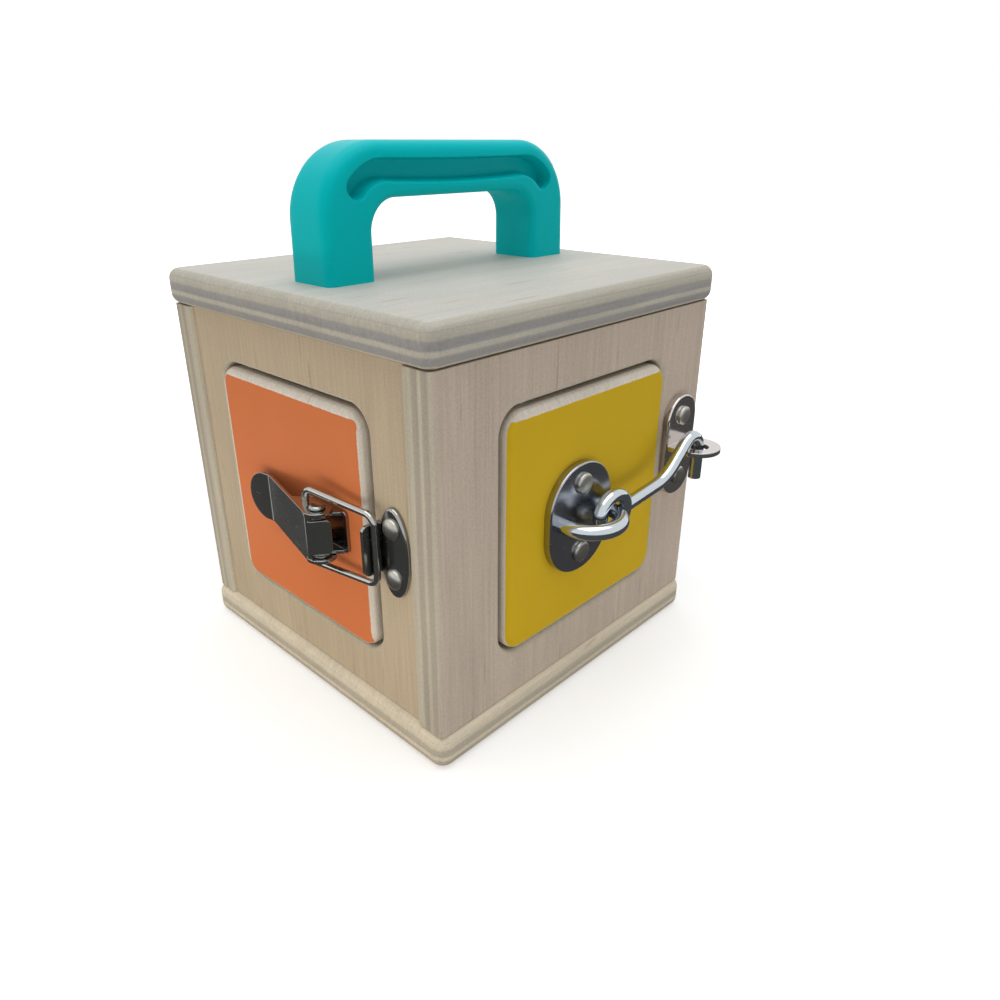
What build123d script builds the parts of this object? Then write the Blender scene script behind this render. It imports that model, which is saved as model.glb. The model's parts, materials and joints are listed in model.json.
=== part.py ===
"""Wooden lock box: a plywood cube with a carry handle and four small doors.

Each door turns on two hidden steel pins and has its own fastening: a draw latch in front,
a cabin hook on the right, a barrel bolt at the back and a turn button on the left.
"""

import os

from build123d import *

os.makedirs("parts", exist_ok=True)

# Top and bottom boards
board_side = 150.0
board_thickness = 13.3
board_corner_radius = 5.0
board_edge_round = 4.0

# Walls
wall_height = 125.3
wall_thickness = 12.6
board_overhang = 1.5
panel_recess = 1.5
wall_edge_round = 2.0
aperture_size = 90.0
front_aperture_width = 87.0
aperture_corner_radius = 9.0
aperture_edge_round = 2.5

# Dowels between the side panels and the boards
dowel_diameter = 6.0
dowel_length = 18.0
dowel_inset = 12.0
dowel_end_gap = 0.5

# Doors
door_gap = 1.25
door_proud = 1.8
door_edge_round = 3.0

# Door pivots
pivot_diameter = 3.0
pivot_inset = 12.0
pivot_depth = 6.5
pivot_in_door = 14.0
pivot_clearance = 0.05
pivot_end_gap = 0.3

# Door stops
stop_width = 11.0
stop_thickness = 5.0
stop_length = 60.0
stop_overlap = 4.5
stop_clearance = 0.3

# Carry handle
handle_length = 119.0
handle_height = 43.8
handle_width = 22.0
handle_corner_radius = 24.0
grip_length = 84.0
grip_height = 26.1
grip_corner_radius = 11.0
handle_edge_round = 2.4
handle_groove_inset = 5.6
handle_groove_width = 6.6
handle_groove_depth = 2.4
handle_groove_height = 24.0
handle_groove_end_round = 2.6

# Handle screws, driven up from inside the box
handle_screw_diameter = 4.0
handle_screw_spacing = 9.0
handle_screw_grip = 15.0
handle_screw_clearance = 0.1
handle_screw_head_diameter = 7.6
handle_screw_head_height = 2.6
handle_screw_head_round = 1.4

# Rivets of the small fittings
small_rivet_head = 5.0
small_rivet_rise = 0.9
small_rivet_shank = 2.4
small_rivet_depth = 6.0

# Fastenings: places along a wall are counted to the right from the latch edge of the door opening
# Draw latch: base on the front door
sheet = 1.2
latch_base_start = -34.0
latch_base_end = -10.8
latch_base_corner = 1.5
ear_half_span = 7.7
ear_radius = 3.4
ear_foot_half_width = 2.6
ear_foot_drop = 2.2
ear_foot_rise = 0.8
latch_rivet_inset = 4.2
latch_rivet_spacing = 7.2
lever_pin_along = -17.8
lever_pin_height = 9.0
lever_pin_diameter = 3.0
lever_pin_head = 5.4
lever_pin_head_rise = 1.1
lever_clearance = 0.05

# Draw latch: lever
cheek_gap = 0.3
cheek_nose_radius = 5.0
cheek_eye_radius = 3.0
cheek_reach = 16.0
lever_nose_along = -13.1
lever_nose_height = 7.4
lever_nose_half_width = 6.2
lever_nose_corner = 1.6
lever_crest_along = -17.0
lever_crest_height = 13.6
lever_crest_bend = 2.2
lever_crease_along = -54.0
lever_crease_height = 4.4
lever_crease_bend = 5.0
lever_tip_along = -65.6
lever_tip_height = 6.0

# Draw latch: bail
bail_wire = 2.4
bail_pivot_along = -26.2
bail_pivot_height = 7.8
bail_bar_along = 5.8
bail_bar_height = 4.0
bail_pivot_half_span = 13.9
bail_bar_half_span = 12.4
bail_bend_radius = 3.6
bail_clearance = 0.08

# Draw latch: catch on the wall
catch_along = 11.4
catch_width = 14.4
catch_height = 32.0
catch_rise = 1.7
catch_round = 1.1
catch_lip_gap = 0.35
catch_lip_half_width = 9.0
catch_lip_rise = 7.6
catch_lip_round = 2.0
catch_rivet_spacing = 18.0
catch_rivet_head = 7.4
catch_rivet_rise = 1.9
catch_rivet_shank = 3.0
catch_rivet_depth = 8.0

# Cabin hook: eye plate and staple on the right door
plate_thickness = 3.0
plate_edge_round = 0.7
eye_along = -53.6
eye_up = -0.7
eye_plate_drop = 0.8
eye_width = 34.0
eye_height = 41.4
eye_side_radius = 16.5
eye_rivet_spacing = 26.4
plate_rivet_head = 7.0
plate_rivet_rise = 1.7
plate_rivet_shank = 3.2
plate_rivet_depth = 8.0
staple_wire = 5.4
staple_half_span = 11.2
staple_reach = 19.2
staple_in_door = 7.0

# Cabin hook: hook
hook_rod = 5.0
hook_level = 11.0
hook_ring_along = -44.0
hook_ring_half_length = 7.6
hook_ring_half_height = 6.4
hook_bend_along = -10.1
hook_bend_up = 1.5
hook_bend_radius = 9.0
hook_peak_up = 21.6
hook_peak_radius = 6.0
hook_drop_along = 12.2
hook_drop_below = 3.7
hook_tip_round = 1.2

# Cabin hook: keeper on the wall
keeper_along = 12.5
keeper_up = 7.05
keeper_width = 20.0
keeper_height = 42.0
keeper_side_radius = 9.8
keeper_rivet_spacing = 25.5
keeper_tab_width = 18.4
keeper_tab_corner_radius = 9.0
keeper_tab_thickness = 1.8
keeper_tab_up = 7.05
keeper_tab_reach = 19.6
keeper_slot_width = 7.2
keeper_slot_start = 8.0
keeper_slot_end = 15.5

# Barrel bolt on the back door
bolt_plate_start = -54.0
bolt_plate_end = -4.0
bolt_plate_height = 26.0
bolt_plate_corner = 3.0
bolt_rod_diameter = 6.0
bolt_clearance = 0.1
bolt_seat_gap = 0.5
bolt_guide_width = 8.0
bolt_guide_inset = 6.0
bolt_tail = 10.0
bolt_knob_diameter = 7.0
bolt_knob_neck = 4.0
bolt_knob_rise = 9.0
bolt_knob_height = 4.0
bolt_knob_along = -37.4
bolt_nose_inset = 1.4
bolt_nose_round = 1.2
bolt_rivet_edge = 4.2
bolt_keeper_start = 3.2
bolt_keeper_width = 10.0
bolt_keeper_height = 26.0
bolt_keeper_corner = 2.0

# Turn button beside the left door
button_along = 10.0
button_length = 36.0
button_width = 13.0
button_thickness = 5.0
button_edge_round = 1.4
button_door_gap = 0.5
spacer_diameter = 12.0
button_screw_shank = 4.0
button_screw_clearance = 0.05
button_screw_head = 8.0
button_screw_rise = 2.4
button_screw_gap = 0.2
button_screw_depth = 9.0

# Derived sizes of the box
wall_span = board_side - 2 * board_overhang
body_height = wall_height + 2 * board_thickness
middle = body_height / 2
front_span = wall_span - 2 * wall_thickness
front_face = wall_span / 2 - panel_recess
door_size = aperture_size - 2 * door_gap
door_corner_radius = aperture_corner_radius - door_gap
pivot_along = -door_size / 2 + pivot_inset
pivot_level = door_proud - pivot_depth
door_thickness = wall_thickness + door_proud - stop_clearance

# One working plane a side: origin on the wall's outer face, x to the right, y up, z outward
front = Plane((0, -front_face, middle), x_dir=(1, 0, 0), z_dir=(0, -1, 0))
right = Plane((wall_span / 2, 0, middle), x_dir=(0, 1, 0), z_dir=(1, 0, 0))
back = Plane((0, front_face, middle), x_dir=(-1, 0, 0), z_dir=(0, 1, 0))
left = Plane((-wall_span / 2, 0, middle), x_dir=(0, -1, 0), z_dir=(-1, 0, 0))


def opening_width(side):
    """Width of a side's door opening, narrower in the two walls set between the others."""
    return front_aperture_width if side in (front, back) else aperture_size


def opening_centre(side):
    """Middle of a side's door opening along the wall; all hinge edges lie alike."""
    return (opening_width(side) - aperture_size) / 2


def latch_edge(side):
    """Plane of a side with its origin moved to the latch edge of the door opening."""
    edge = opening_width(side) - aperture_size / 2
    return Plane(side.from_local_coords((edge, 0, 0)), x_dir=side.x_dir, z_dir=side.z_dir)


front_edge = latch_edge(front)
right_edge = latch_edge(right)
back_edge = latch_edge(back)
left_edge = latch_edge(left)


def section(side, up=0.0):
    """Plane across a side at a height above its middle: x to the right, y outward."""
    return Plane(side.from_local_coords((0, up, 0)), x_dir=side.x_dir, z_dir=-side.y_dir)


def upright(side, along):
    """Plane square to a side at a distance to the right: x up, y outward."""
    return Plane(side.from_local_coords((along, 0, 0)), x_dir=side.y_dir, z_dir=side.x_dir)


def at_level(edges, side, level):
    """Edges that lie wholly at one distance out from a side's plane."""
    return edges.filter_by(
        lambda edge: all(abs(side.to_local_coords(edge @ t).Z - level) < 1e-4 for t in (0, 0.37, 1))
    )


def save(part, name):
    """Label a finished sub-part and write it to its file."""
    part.label = name
    export_step(part, f"parts/{name}.step")


def make_board(base, hole_points, hole_diameter, hole_side):
    """Square board with rounded edges and blind dowel holes in the face given by hole_side."""
    hole_depth = dowel_length / 2 + dowel_end_gap / 2
    with BuildPart() as made:
        with BuildSketch(Plane.XY.offset(base)):
            RectangleRounded(board_side, board_side, board_corner_radius)
        extrude(amount=board_thickness)
        faces_z = made.edges().group_by(Axis.Z)
        fillet(faces_z[0] + faces_z[-1], board_edge_round)
        with BuildSketch(Plane.XY.offset(hole_side)):
            with Locations(*hole_points):
                Circle(hole_diameter / 2)
        extrude(amount=hole_depth if hole_side == base else -hole_depth, mode=Mode.SUBTRACT)
    return made.part


def make_panel(side, width, rounded_ends, dowels, rivet_points, rivet_shank, rivet_depth):
    """Wall panel with its door opening, pivot bores, dowel holes and rivet holes."""
    with BuildPart() as made:
        with BuildSketch(side):
            Rectangle(width, wall_height)
        extrude(amount=-wall_thickness)
        if rounded_ends:
            fillet(made.edges().filter_by(Axis.Z), wall_edge_round)
        with BuildSketch(side):
            with Locations((opening_centre(side), 0)):
                RectangleRounded(opening_width(side), aperture_size, aperture_corner_radius)
        extrude(amount=-wall_thickness, mode=Mode.SUBTRACT)
        fillet(at_level(made.edges(Select.LAST), side, 0), aperture_edge_round)
        pivot = side.from_local_coords((pivot_along, 0, pivot_level))
        with BuildSketch(Plane.XY.offset(board_thickness)):
            with Locations((pivot.X, pivot.Y)):
                Circle(pivot_diameter / 2 + pivot_clearance)
        extrude(amount=wall_height, mode=Mode.SUBTRACT)
        if dowels:
            for level, depth in ((board_thickness, 1), (board_thickness + wall_height, -1)):
                with BuildSketch(Plane.XY.offset(level)):
                    with Locations(*dowels):
                        Circle(dowel_diameter / 2)
                extrude(amount=depth * (dowel_length + dowel_end_gap) / 2, mode=Mode.SUBTRACT)
        if rivet_points:
            with BuildSketch(latch_edge(side)):
                with Locations(*rivet_points):
                    Circle(rivet_shank / 2)
            extrude(amount=-rivet_depth, mode=Mode.SUBTRACT)
    return made.part


def make_door(side, hole_points, hole_diameter, hole_depth, leg_points):
    """Door leaf with rounded front edges, pivot bores and the holes of its fastening."""
    with BuildPart() as made:
        with BuildSketch(side.offset(door_proud)):
            with Locations((opening_centre(side), 0)):
                RectangleRounded(opening_width(side) - 2 * door_gap, door_size, door_corner_radius)
        extrude(amount=-door_thickness)
        fillet(at_level(made.edges(), side, door_proud), door_edge_round)
        pivot = side.from_local_coords((pivot_along, 0, pivot_level))
        for end, way in ((middle - door_size / 2, 1), (middle + door_size / 2, -1)):
            with BuildSketch(Plane.XY.offset(end)):
                with Locations((pivot.X, pivot.Y)):
                    Circle(pivot_diameter / 2)
            extrude(amount=way * pivot_in_door, mode=Mode.SUBTRACT)
        if hole_points:
            with BuildSketch(latch_edge(side).offset(door_proud)):
                with Locations(*hole_points):
                    Circle(hole_diameter / 2)
            extrude(amount=-hole_depth, mode=Mode.SUBTRACT)
        if leg_points:
            with BuildSketch(latch_edge(side).offset(door_proud)):
                with Locations(*leg_points):
                    Circle(staple_wire / 2)
            extrude(amount=-staple_in_door, mode=Mode.SUBTRACT)
    return made.part


def make_pivots(side):
    """Upper and lower steel pins of one door, held between the boards."""
    pivot = side.from_local_coords((pivot_along, 0, pivot_level))
    length = pivot_in_door + (wall_height - door_size) / 2 - pivot_end_gap
    with BuildPart() as made:
        for way in (-1, 1):
            with BuildSketch(Plane.XY.offset(middle + way * (door_size / 2 - pivot_in_door))):
                with Locations((pivot.X, pivot.Y)):
                    Circle(pivot_diameter / 2)
            extrude(amount=way * length)
    return made.part


def make_stop(side):
    """Strip inside the wall behind the latch edge, which the closed door comes to rest against."""
    inner = opening_width(side) - aperture_size / 2 - door_gap - stop_overlap
    with BuildPart() as made:
        with BuildSketch(side.offset(-wall_thickness)):
            with Locations((inner + stop_width / 2, 0)):
                Rectangle(stop_width, stop_length)
        extrude(amount=-stop_thickness)
    return made.part


def make_rivets(side, points, seat, head, rise, shank, depth):
    """Dome-headed rivets whose heads sit at one level and whose shanks run into the wood."""
    with BuildPart() as made:
        with BuildSketch(side.offset(seat)):
            with Locations(*points):
                Circle(head / 2)
        extrude(amount=rise)
        fillet(at_level(made.edges(), side, seat + rise), rise * 0.9)
        with BuildSketch(side.offset(seat)):
            with Locations(*points):
                Circle(shank / 2)
        extrude(amount=-depth)
    return made.part


def make_plate(side, along, up, width, height, side_radius, points, shank):
    """Round-ended plate with an eased rim and rivet holes."""
    with BuildPart() as made:
        with BuildSketch(side):
            with Locations((along, up)):
                RectangleRounded(width, height, side_radius)
        extrude(amount=plate_thickness)
        fillet(at_level(made.edges(), side, plate_thickness), plate_edge_round)
        with BuildSketch(side):
            with Locations(*points):
                Circle(shank / 2)
        extrude(amount=plate_thickness, mode=Mode.SUBTRACT)
    return made.part


# Points shared by the pieces that meet there, those of fastenings as (from the latch edge, up)
eye_plate_up = eye_up - eye_plate_drop
dowel_points = [
    (x * (wall_span - wall_thickness) / 2, y * (wall_span / 2 - dowel_inset))
    for x in (-1, 1)
    for y in (-1, 1)
]
latch_rivet_points = [
    (latch_base_start + latch_rivet_inset, way * latch_rivet_spacing / 2) for way in (-1, 1)
]
catch_rivet_points = [(catch_along, way * catch_rivet_spacing / 2) for way in (-1, 1)]
eye_rivet_points = [(eye_along, eye_plate_up + way * eye_rivet_spacing / 2) for way in (-1, 1)]
staple_points = [(eye_along + way * staple_half_span, eye_up) for way in (-1, 1)]
keeper_rivet_points = [(keeper_along, keeper_up + way * keeper_rivet_spacing / 2) for way in (-1, 1)]
bolt_plate_points = [
    (along, way * (bolt_plate_height / 2 - bolt_rivet_edge))
    for along in (bolt_plate_start + bolt_rivet_edge, bolt_plate_end - bolt_rivet_edge)
    for way in (-1, 1)
]
bolt_keeper_points = [
    (bolt_keeper_start + bolt_keeper_width / 2, way * (bolt_keeper_height / 2 - bolt_rivet_edge))
    for way in (-1, 1)
]
handle_foot_middle = (handle_length + grip_length) / 4
handle_screw_points = [
    (x * handle_screw_spacing / 2, y * handle_foot_middle) for x in (-1, 1) for y in (-1, 1)
]

# Boards
top_base = board_thickness + wall_height
bottom_board = make_board(0, dowel_points, dowel_diameter, board_thickness)
save(bottom_board, "bottom_board")

with BuildPart() as top_board:
    add(make_board(top_base, dowel_points, dowel_diameter, top_base))
    with BuildSketch(Plane.XY.offset(top_base)):
        with Locations(*handle_screw_points):
            Circle(handle_screw_diameter / 2 + handle_screw_clearance)
    extrude(amount=board_thickness, mode=Mode.SUBTRACT)
save(top_board.part, "top_board")

for base, name in ((board_thickness, "bottom_dowels"), (top_base, "top_dowels")):
    with BuildPart() as dowels:
        with BuildSketch(Plane.XY.offset(base)):
            with Locations(*dowel_points):
                Circle(dowel_diameter / 2)
        extrude(amount=dowel_length / 2, both=True)
    save(dowels.part, name)

# Walls
right_dowels = [point for point in dowel_points if point[0] > 0]
left_dowels = [point for point in dowel_points if point[0] < 0]
front_panel = make_panel(front, front_span, False, [], catch_rivet_points, catch_rivet_shank, catch_rivet_depth)
save(front_panel, "front_panel")
right_panel = make_panel(
    right, wall_span, True, right_dowels, keeper_rivet_points, plate_rivet_shank, plate_rivet_depth
)
save(right_panel, "right_panel")
back_panel = make_panel(back, front_span, False, [], bolt_keeper_points, small_rivet_shank, small_rivet_depth)
save(back_panel, "back_panel")
left_panel = make_panel(
    left, wall_span, True, left_dowels, [(button_along, 0)], button_screw_shank, button_screw_depth
)
save(left_panel, "left_panel")

# Doors with their pins and stops
front_door = make_door(front, latch_rivet_points, small_rivet_shank, small_rivet_depth, [])
right_door = make_door(right, eye_rivet_points, plate_rivet_shank, plate_rivet_depth, staple_points)
back_door = make_door(back, bolt_plate_points, small_rivet_shank, small_rivet_depth, [])
left_door = make_door(left, [], small_rivet_shank, small_rivet_depth, [])
for leaf, side, name in (
    (front_door, front, "front"),
    (right_door, right, "right"),
    (back_door, back, "back"),
    (left_door, left, "left"),
):
    save(leaf, f"{name}_door")
    save(make_pivots(side), f"{name}_door_pins")
    save(make_stop(side), f"{name}_door_stop")

# Carry handle: an arch along Y with a groove in each side
with BuildPart() as carry_handle:
    with BuildSketch(Plane.YZ) as arch:
        with Locations((0, body_height)):
            outer = Rectangle(handle_length, handle_height, align=(Align.CENTER, Align.MIN))
        fillet(outer.vertices().group_by(Axis.Y)[-1], handle_corner_radius)
    extrude(amount=handle_width / 2, both=True)
    with BuildSketch(Plane.YZ):
        with Locations((0, body_height)):
            hollow = Rectangle(grip_length, grip_height, align=(Align.CENTER, Align.MIN))
        fillet(hollow.vertices().group_by(Axis.Y)[-1], grip_corner_radius)
    extrude(amount=handle_width / 2, both=True, mode=Mode.SUBTRACT)
    rims = carry_handle.edges().filter_by(lambda edge: abs(abs(edge.center().X) - handle_width / 2) < 1e-4)
    fillet(rims.filter_by(lambda edge: edge.center().Z > body_height + 0.1), handle_edge_round)
    groove_floor = handle_width / 2 - handle_groove_depth
    inner_inset = handle_groove_inset + handle_groove_width
    for side_plane in (Plane.YZ.offset(groove_floor), Plane.YZ.offset(-handle_width / 2)):
        with BuildSketch(side_plane) as groove:
            with Locations((0, body_height)):
                groove_outer = Rectangle(
                    handle_length - 2 * handle_groove_inset,
                    handle_height - handle_groove_inset,
                    align=(Align.CENTER, Align.MIN),
                )
            fillet(groove_outer.vertices().group_by(Axis.Y)[-1], handle_corner_radius - handle_groove_inset)
            with BuildSketch(mode=Mode.SUBTRACT) as island:
                with Locations((0, body_height)):
                    Rectangle(
                        handle_length - 2 * inner_inset,
                        handle_height - inner_inset,
                        align=(Align.CENTER, Align.MIN),
                    )
                fillet(island.vertices().group_by(Axis.Y)[-1], handle_corner_radius - inner_inset)
            with Locations((0, body_height)):
                Rectangle(
                    handle_length, handle_groove_height, align=(Align.CENTER, Align.MIN), mode=Mode.SUBTRACT
                )
            fillet(groove.vertices().group_by(Axis.Y)[0], handle_groove_end_round)
        extrude(amount=handle_groove_depth, mode=Mode.SUBTRACT)
    with BuildSketch(Plane.XY.offset(body_height)):
        with Locations(*handle_screw_points):
            Circle(handle_screw_diameter / 2)
    extrude(amount=handle_screw_grip, mode=Mode.SUBTRACT)
save(carry_handle.part, "carry_handle")

with BuildPart() as handle_screws:
    with BuildSketch(Plane.XY.offset(top_base)):
        with Locations(*handle_screw_points):
            Circle(handle_screw_head_diameter / 2)
    extrude(amount=-handle_screw_head_height)
    fillet(handle_screws.edges().group_by(Axis.Z)[0], handle_screw_head_round)
    with BuildSketch(Plane.XY.offset(top_base)):
        with Locations(*handle_screw_points):
            Circle(handle_screw_diameter / 2)
    extrude(amount=board_thickness + handle_screw_grip)
save(handle_screws.part, "handle_screws")

# Draw latch on the front door
base_top = door_proud + sheet
cheek_inner = ear_half_span + cheek_gap
cheek_outer = cheek_inner + sheet
with BuildPart() as latch_base:
    with BuildSketch(front_edge.offset(door_proud)):
        with Locations(((latch_base_start + latch_base_end) / 2, 0)):
            RectangleRounded(latch_base_end - latch_base_start, 2 * ear_half_span, latch_base_corner)
    extrude(amount=sheet)
    for up in (ear_half_span, sheet - ear_half_span):
        with BuildSketch(section(front_edge, up)):
            with Locations((lever_pin_along, lever_pin_height)):
                Circle(ear_radius)
            with BuildLine():
                Polyline(
                    (lever_pin_along - ear_radius, door_proud),
                    (lever_pin_along - ear_radius, lever_pin_height),
                    (lever_pin_along + ear_foot_half_width, lever_pin_height),
                    (lever_pin_along + ear_foot_half_width, lever_pin_height - ear_foot_drop),
                    (latch_base_end - latch_base_corner, base_top + ear_foot_rise),
                    (latch_base_end - latch_base_corner, door_proud),
                    close=True,
                )
            make_face()
        extrude(amount=sheet)
    with BuildSketch(section(front_edge)):
        with Locations((lever_pin_along, lever_pin_height)):
            Circle(lever_pin_diameter / 2)
    extrude(amount=cheek_outer, both=True, mode=Mode.SUBTRACT)
    with BuildSketch(front_edge):
        with Locations(*latch_rivet_points):
            Circle(small_rivet_shank / 2)
    extrude(amount=base_top, mode=Mode.SUBTRACT)
save(latch_base.part, "latch_base")

latch_rivets = make_rivets(
    front_edge, latch_rivet_points, base_top, small_rivet_head, small_rivet_rise, small_rivet_shank,
    small_rivet_depth + sheet,
)
save(latch_rivets, "latch_rivets")

with BuildPart() as lever_pin:
    with BuildSketch(section(front_edge)):
        with Locations((lever_pin_along, lever_pin_height)):
            Circle(lever_pin_diameter / 2)
    extrude(amount=cheek_outer + cheek_gap, both=True)
    for up, way in ((cheek_outer + cheek_gap, -1), (-cheek_outer - cheek_gap, 1)):
        with BuildSketch(section(front_edge, up)):
            with Locations((lever_pin_along, lever_pin_height)):
                Circle(lever_pin_head / 2)
        extrude(amount=way * lever_pin_head_rise)
    pin_rims = lever_pin.edges().group_by(Axis.Z)
    fillet(pin_rims[0] + pin_rims[-1], lever_pin_head_rise * 0.8)
save(lever_pin.part, "lever_pin")

# The lever is a bent strip seen from the side, cut to the outline seen from the front, with two cheeks
web_slope = (lever_crest_height - lever_crease_height) / (lever_crest_along - lever_crease_along)
cheek_start = lever_crest_along - cheek_reach
with BuildPart() as latch_lever:
    with BuildSketch(section(front_edge)):
        with BuildLine() as bend:
            FilletPolyline(
                (lever_nose_along, lever_nose_height),
                (lever_crest_along, lever_crest_height),
                (lever_crease_along, lever_crease_height),
                (lever_tip_along, lever_tip_height),
                radius=[lever_crest_bend, lever_crease_bend],
            )
        trace(bend.edges(), sheet)
    extrude(amount=cheek_outer, both=True)
    with BuildSketch(front_edge):
        with BuildLine():
            bill = ThreePointArc(
                (lever_crease_along, cheek_outer),
                (lever_tip_along, 0),
                (lever_crease_along, -cheek_outer),
            )
            Polyline(
                bill @ 1,
                (lever_crest_along, -cheek_outer),
                (lever_crest_along, -lever_nose_half_width),
                (lever_nose_along + sheet, -lever_nose_half_width),
                (lever_nose_along + sheet, lever_nose_half_width),
                (lever_crest_along, lever_nose_half_width),
                (lever_crest_along, cheek_outer),
                bill @ 0,
            )
        make_face()
    extrude(amount=2 * lever_crest_height, mode=Mode.INTERSECT)
    nose_end = section(front_edge).from_local_coords((lever_nose_along, lever_nose_height, 0))
    nose_corners = latch_lever.edges().filter_by(lambda edge: abs(edge.length - sheet) < 1e-3)
    fillet(nose_corners.sort_by_distance(nose_end)[:2], lever_nose_corner)
    for up in (cheek_outer, -cheek_inner):
        with BuildSketch(section(front_edge, up)):
            with Locations((lever_pin_along, lever_pin_height)):
                Circle(cheek_nose_radius)
            with Locations((bail_pivot_along, bail_pivot_height)):
                Circle(cheek_eye_radius)
            with BuildLine():
                Polyline(
                    (lever_crest_along, lever_crest_height),
                    (cheek_start, lever_crest_height - web_slope * cheek_reach),
                    (bail_pivot_along - cheek_eye_radius * 0.8, bail_pivot_height - cheek_eye_radius * 0.6),
                    (bail_pivot_along, bail_pivot_height - cheek_eye_radius),
                    (lever_pin_along, lever_pin_height - cheek_nose_radius),
                    close=True,
                )
            make_face()
            with Locations((lever_pin_along, lever_pin_height)):
                Circle(lever_pin_diameter / 2 + lever_clearance, mode=Mode.SUBTRACT)
            with Locations((bail_pivot_along, bail_pivot_height)):
                Circle(bail_wire / 2 + bail_clearance, mode=Mode.SUBTRACT)
        extrude(amount=sheet)
save(latch_lever.part, "latch_lever")

bail_pivot = Vector(bail_pivot_along, 0, bail_pivot_height)
bail_run = Vector(bail_bar_along, 0, bail_bar_height) - bail_pivot
bail_start = front_edge.from_local_coords(bail_pivot)
bail_heading = front_edge.from_local_coords(bail_pivot + bail_run) - bail_start
bail_plane = Plane(bail_start, x_dir=bail_heading, z_dir=Vector(0, 0, 1).cross(bail_heading))
with BuildPart() as latch_bail:
    with BuildLine(bail_plane) as bail_path:
        FilletPolyline(
            (0, cheek_inner),
            (0, bail_pivot_half_span),
            (bail_run.length, bail_bar_half_span),
            (bail_run.length, -bail_bar_half_span),
            (0, -bail_pivot_half_span),
            (0, -cheek_inner),
            radius=bail_bend_radius,
        )
    with BuildSketch(Plane(bail_path.line @ 0, z_dir=bail_path.line % 0)):
        Circle(bail_wire / 2)
    sweep(path=bail_path.line)
save(latch_bail.part, "latch_bail")

# Catch: an oval plate whose foot passes under the bail and stands up as a lip
lip_right = bail_bar_along - bail_wire / 2 - catch_lip_gap
with BuildPart() as catch_plate:
    with BuildSketch(front_edge):
        with Locations((catch_along, 0)):
            Ellipse(catch_width / 2, catch_height / 2)
    extrude(amount=catch_rise)
    fillet(at_level(catch_plate.edges(), front_edge, catch_rise), catch_round)
    with BuildSketch(front_edge):
        with Locations((lip_right - sheet, 0)):
            Rectangle(
                catch_along - lip_right + sheet, 2 * catch_lip_half_width, align=(Align.MIN, Align.CENTER)
            )
    extrude(amount=sheet)
    with BuildSketch(upright(front_edge, lip_right - sheet)):
        lip = Rectangle(2 * catch_lip_half_width, catch_lip_rise, align=(Align.CENTER, Align.MIN))
        fillet(lip.vertices().group_by(Axis.Y)[-1], catch_lip_round)
    extrude(amount=sheet)
    with BuildSketch(front_edge):
        with Locations(*catch_rivet_points):
            Circle(catch_rivet_shank / 2)
    extrude(amount=catch_rise, mode=Mode.SUBTRACT)
save(catch_plate.part, "catch_plate")

catch_rivets = make_rivets(
    front_edge, catch_rivet_points, catch_rise, catch_rivet_head, catch_rivet_rise, catch_rivet_shank,
    catch_rivet_depth + catch_rise,
)
save(catch_rivets, "catch_rivets")

# Cabin hook on the right door
door_face = right_edge.offset(door_proud)
with BuildPart() as eye_plate:
    add(make_plate(
        door_face, eye_along, eye_plate_up, eye_width, eye_height, eye_side_radius, eye_rivet_points,
        plate_rivet_shank,
    ))
    with BuildSketch(door_face):
        with Locations(*staple_points):
            Circle(staple_wire / 2)
    extrude(amount=plate_thickness, mode=Mode.SUBTRACT)
save(eye_plate.part, "eye_plate")

eye_rivets = make_rivets(
    door_face, eye_rivet_points, plate_thickness, plate_rivet_head, plate_rivet_rise, plate_rivet_shank,
    plate_rivet_depth + plate_thickness,
)
save(eye_rivets, "eye_rivets")

with BuildPart() as eye_staple:
    with BuildLine(section(right_edge, eye_up)) as bow:
        near_leg = Line(
            (eye_along - staple_half_span, door_proud - staple_in_door),
            (eye_along - staple_half_span, staple_reach - staple_half_span),
        )
        crown = ThreePointArc(
            near_leg @ 1,
            (eye_along, staple_reach),
            (eye_along + staple_half_span, staple_reach - staple_half_span),
        )
        Line(crown @ 1, (eye_along + staple_half_span, door_proud - staple_in_door))
    with BuildSketch(Plane(bow.line @ 0, z_dir=bow.line % 0)):
        Circle(staple_wire / 2)
    sweep(path=bow.line)
save(eye_staple.part, "eye_staple")

hook_plane = right_edge.offset(hook_level)
with BuildPart() as hook:
    with BuildLine(hook_plane) as shank:
        FilletPolyline(
            (hook_ring_along + hook_ring_half_length, eye_up),
            (hook_bend_along, hook_bend_up),
            (hook_drop_along, hook_peak_up),
            (hook_drop_along, eye_up - hook_drop_below),
            radius=[hook_bend_radius, hook_peak_radius],
        )
    with BuildSketch(Plane(shank.line @ 0, z_dir=shank.line % 0)):
        Circle(hook_rod / 2)
    sweep(path=shank.line)
    fillet(hook.edges().sort_by(lambda edge: abs(edge.center().Z - (shank.line @ 1).Z))[0], hook_tip_round)
    with BuildLine(hook_plane) as ring:
        for start in (0, 180):
            EllipticalCenterArc(
                (hook_ring_along, eye_up), hook_ring_half_length, hook_ring_half_height,
                start_angle=start, arc_size=180,
            )
    with BuildSketch(Plane(ring.line @ 0, z_dir=ring.line % 0)):
        Circle(hook_rod / 2)
    sweep(path=ring.line)
save(hook.part, "hook")

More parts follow.
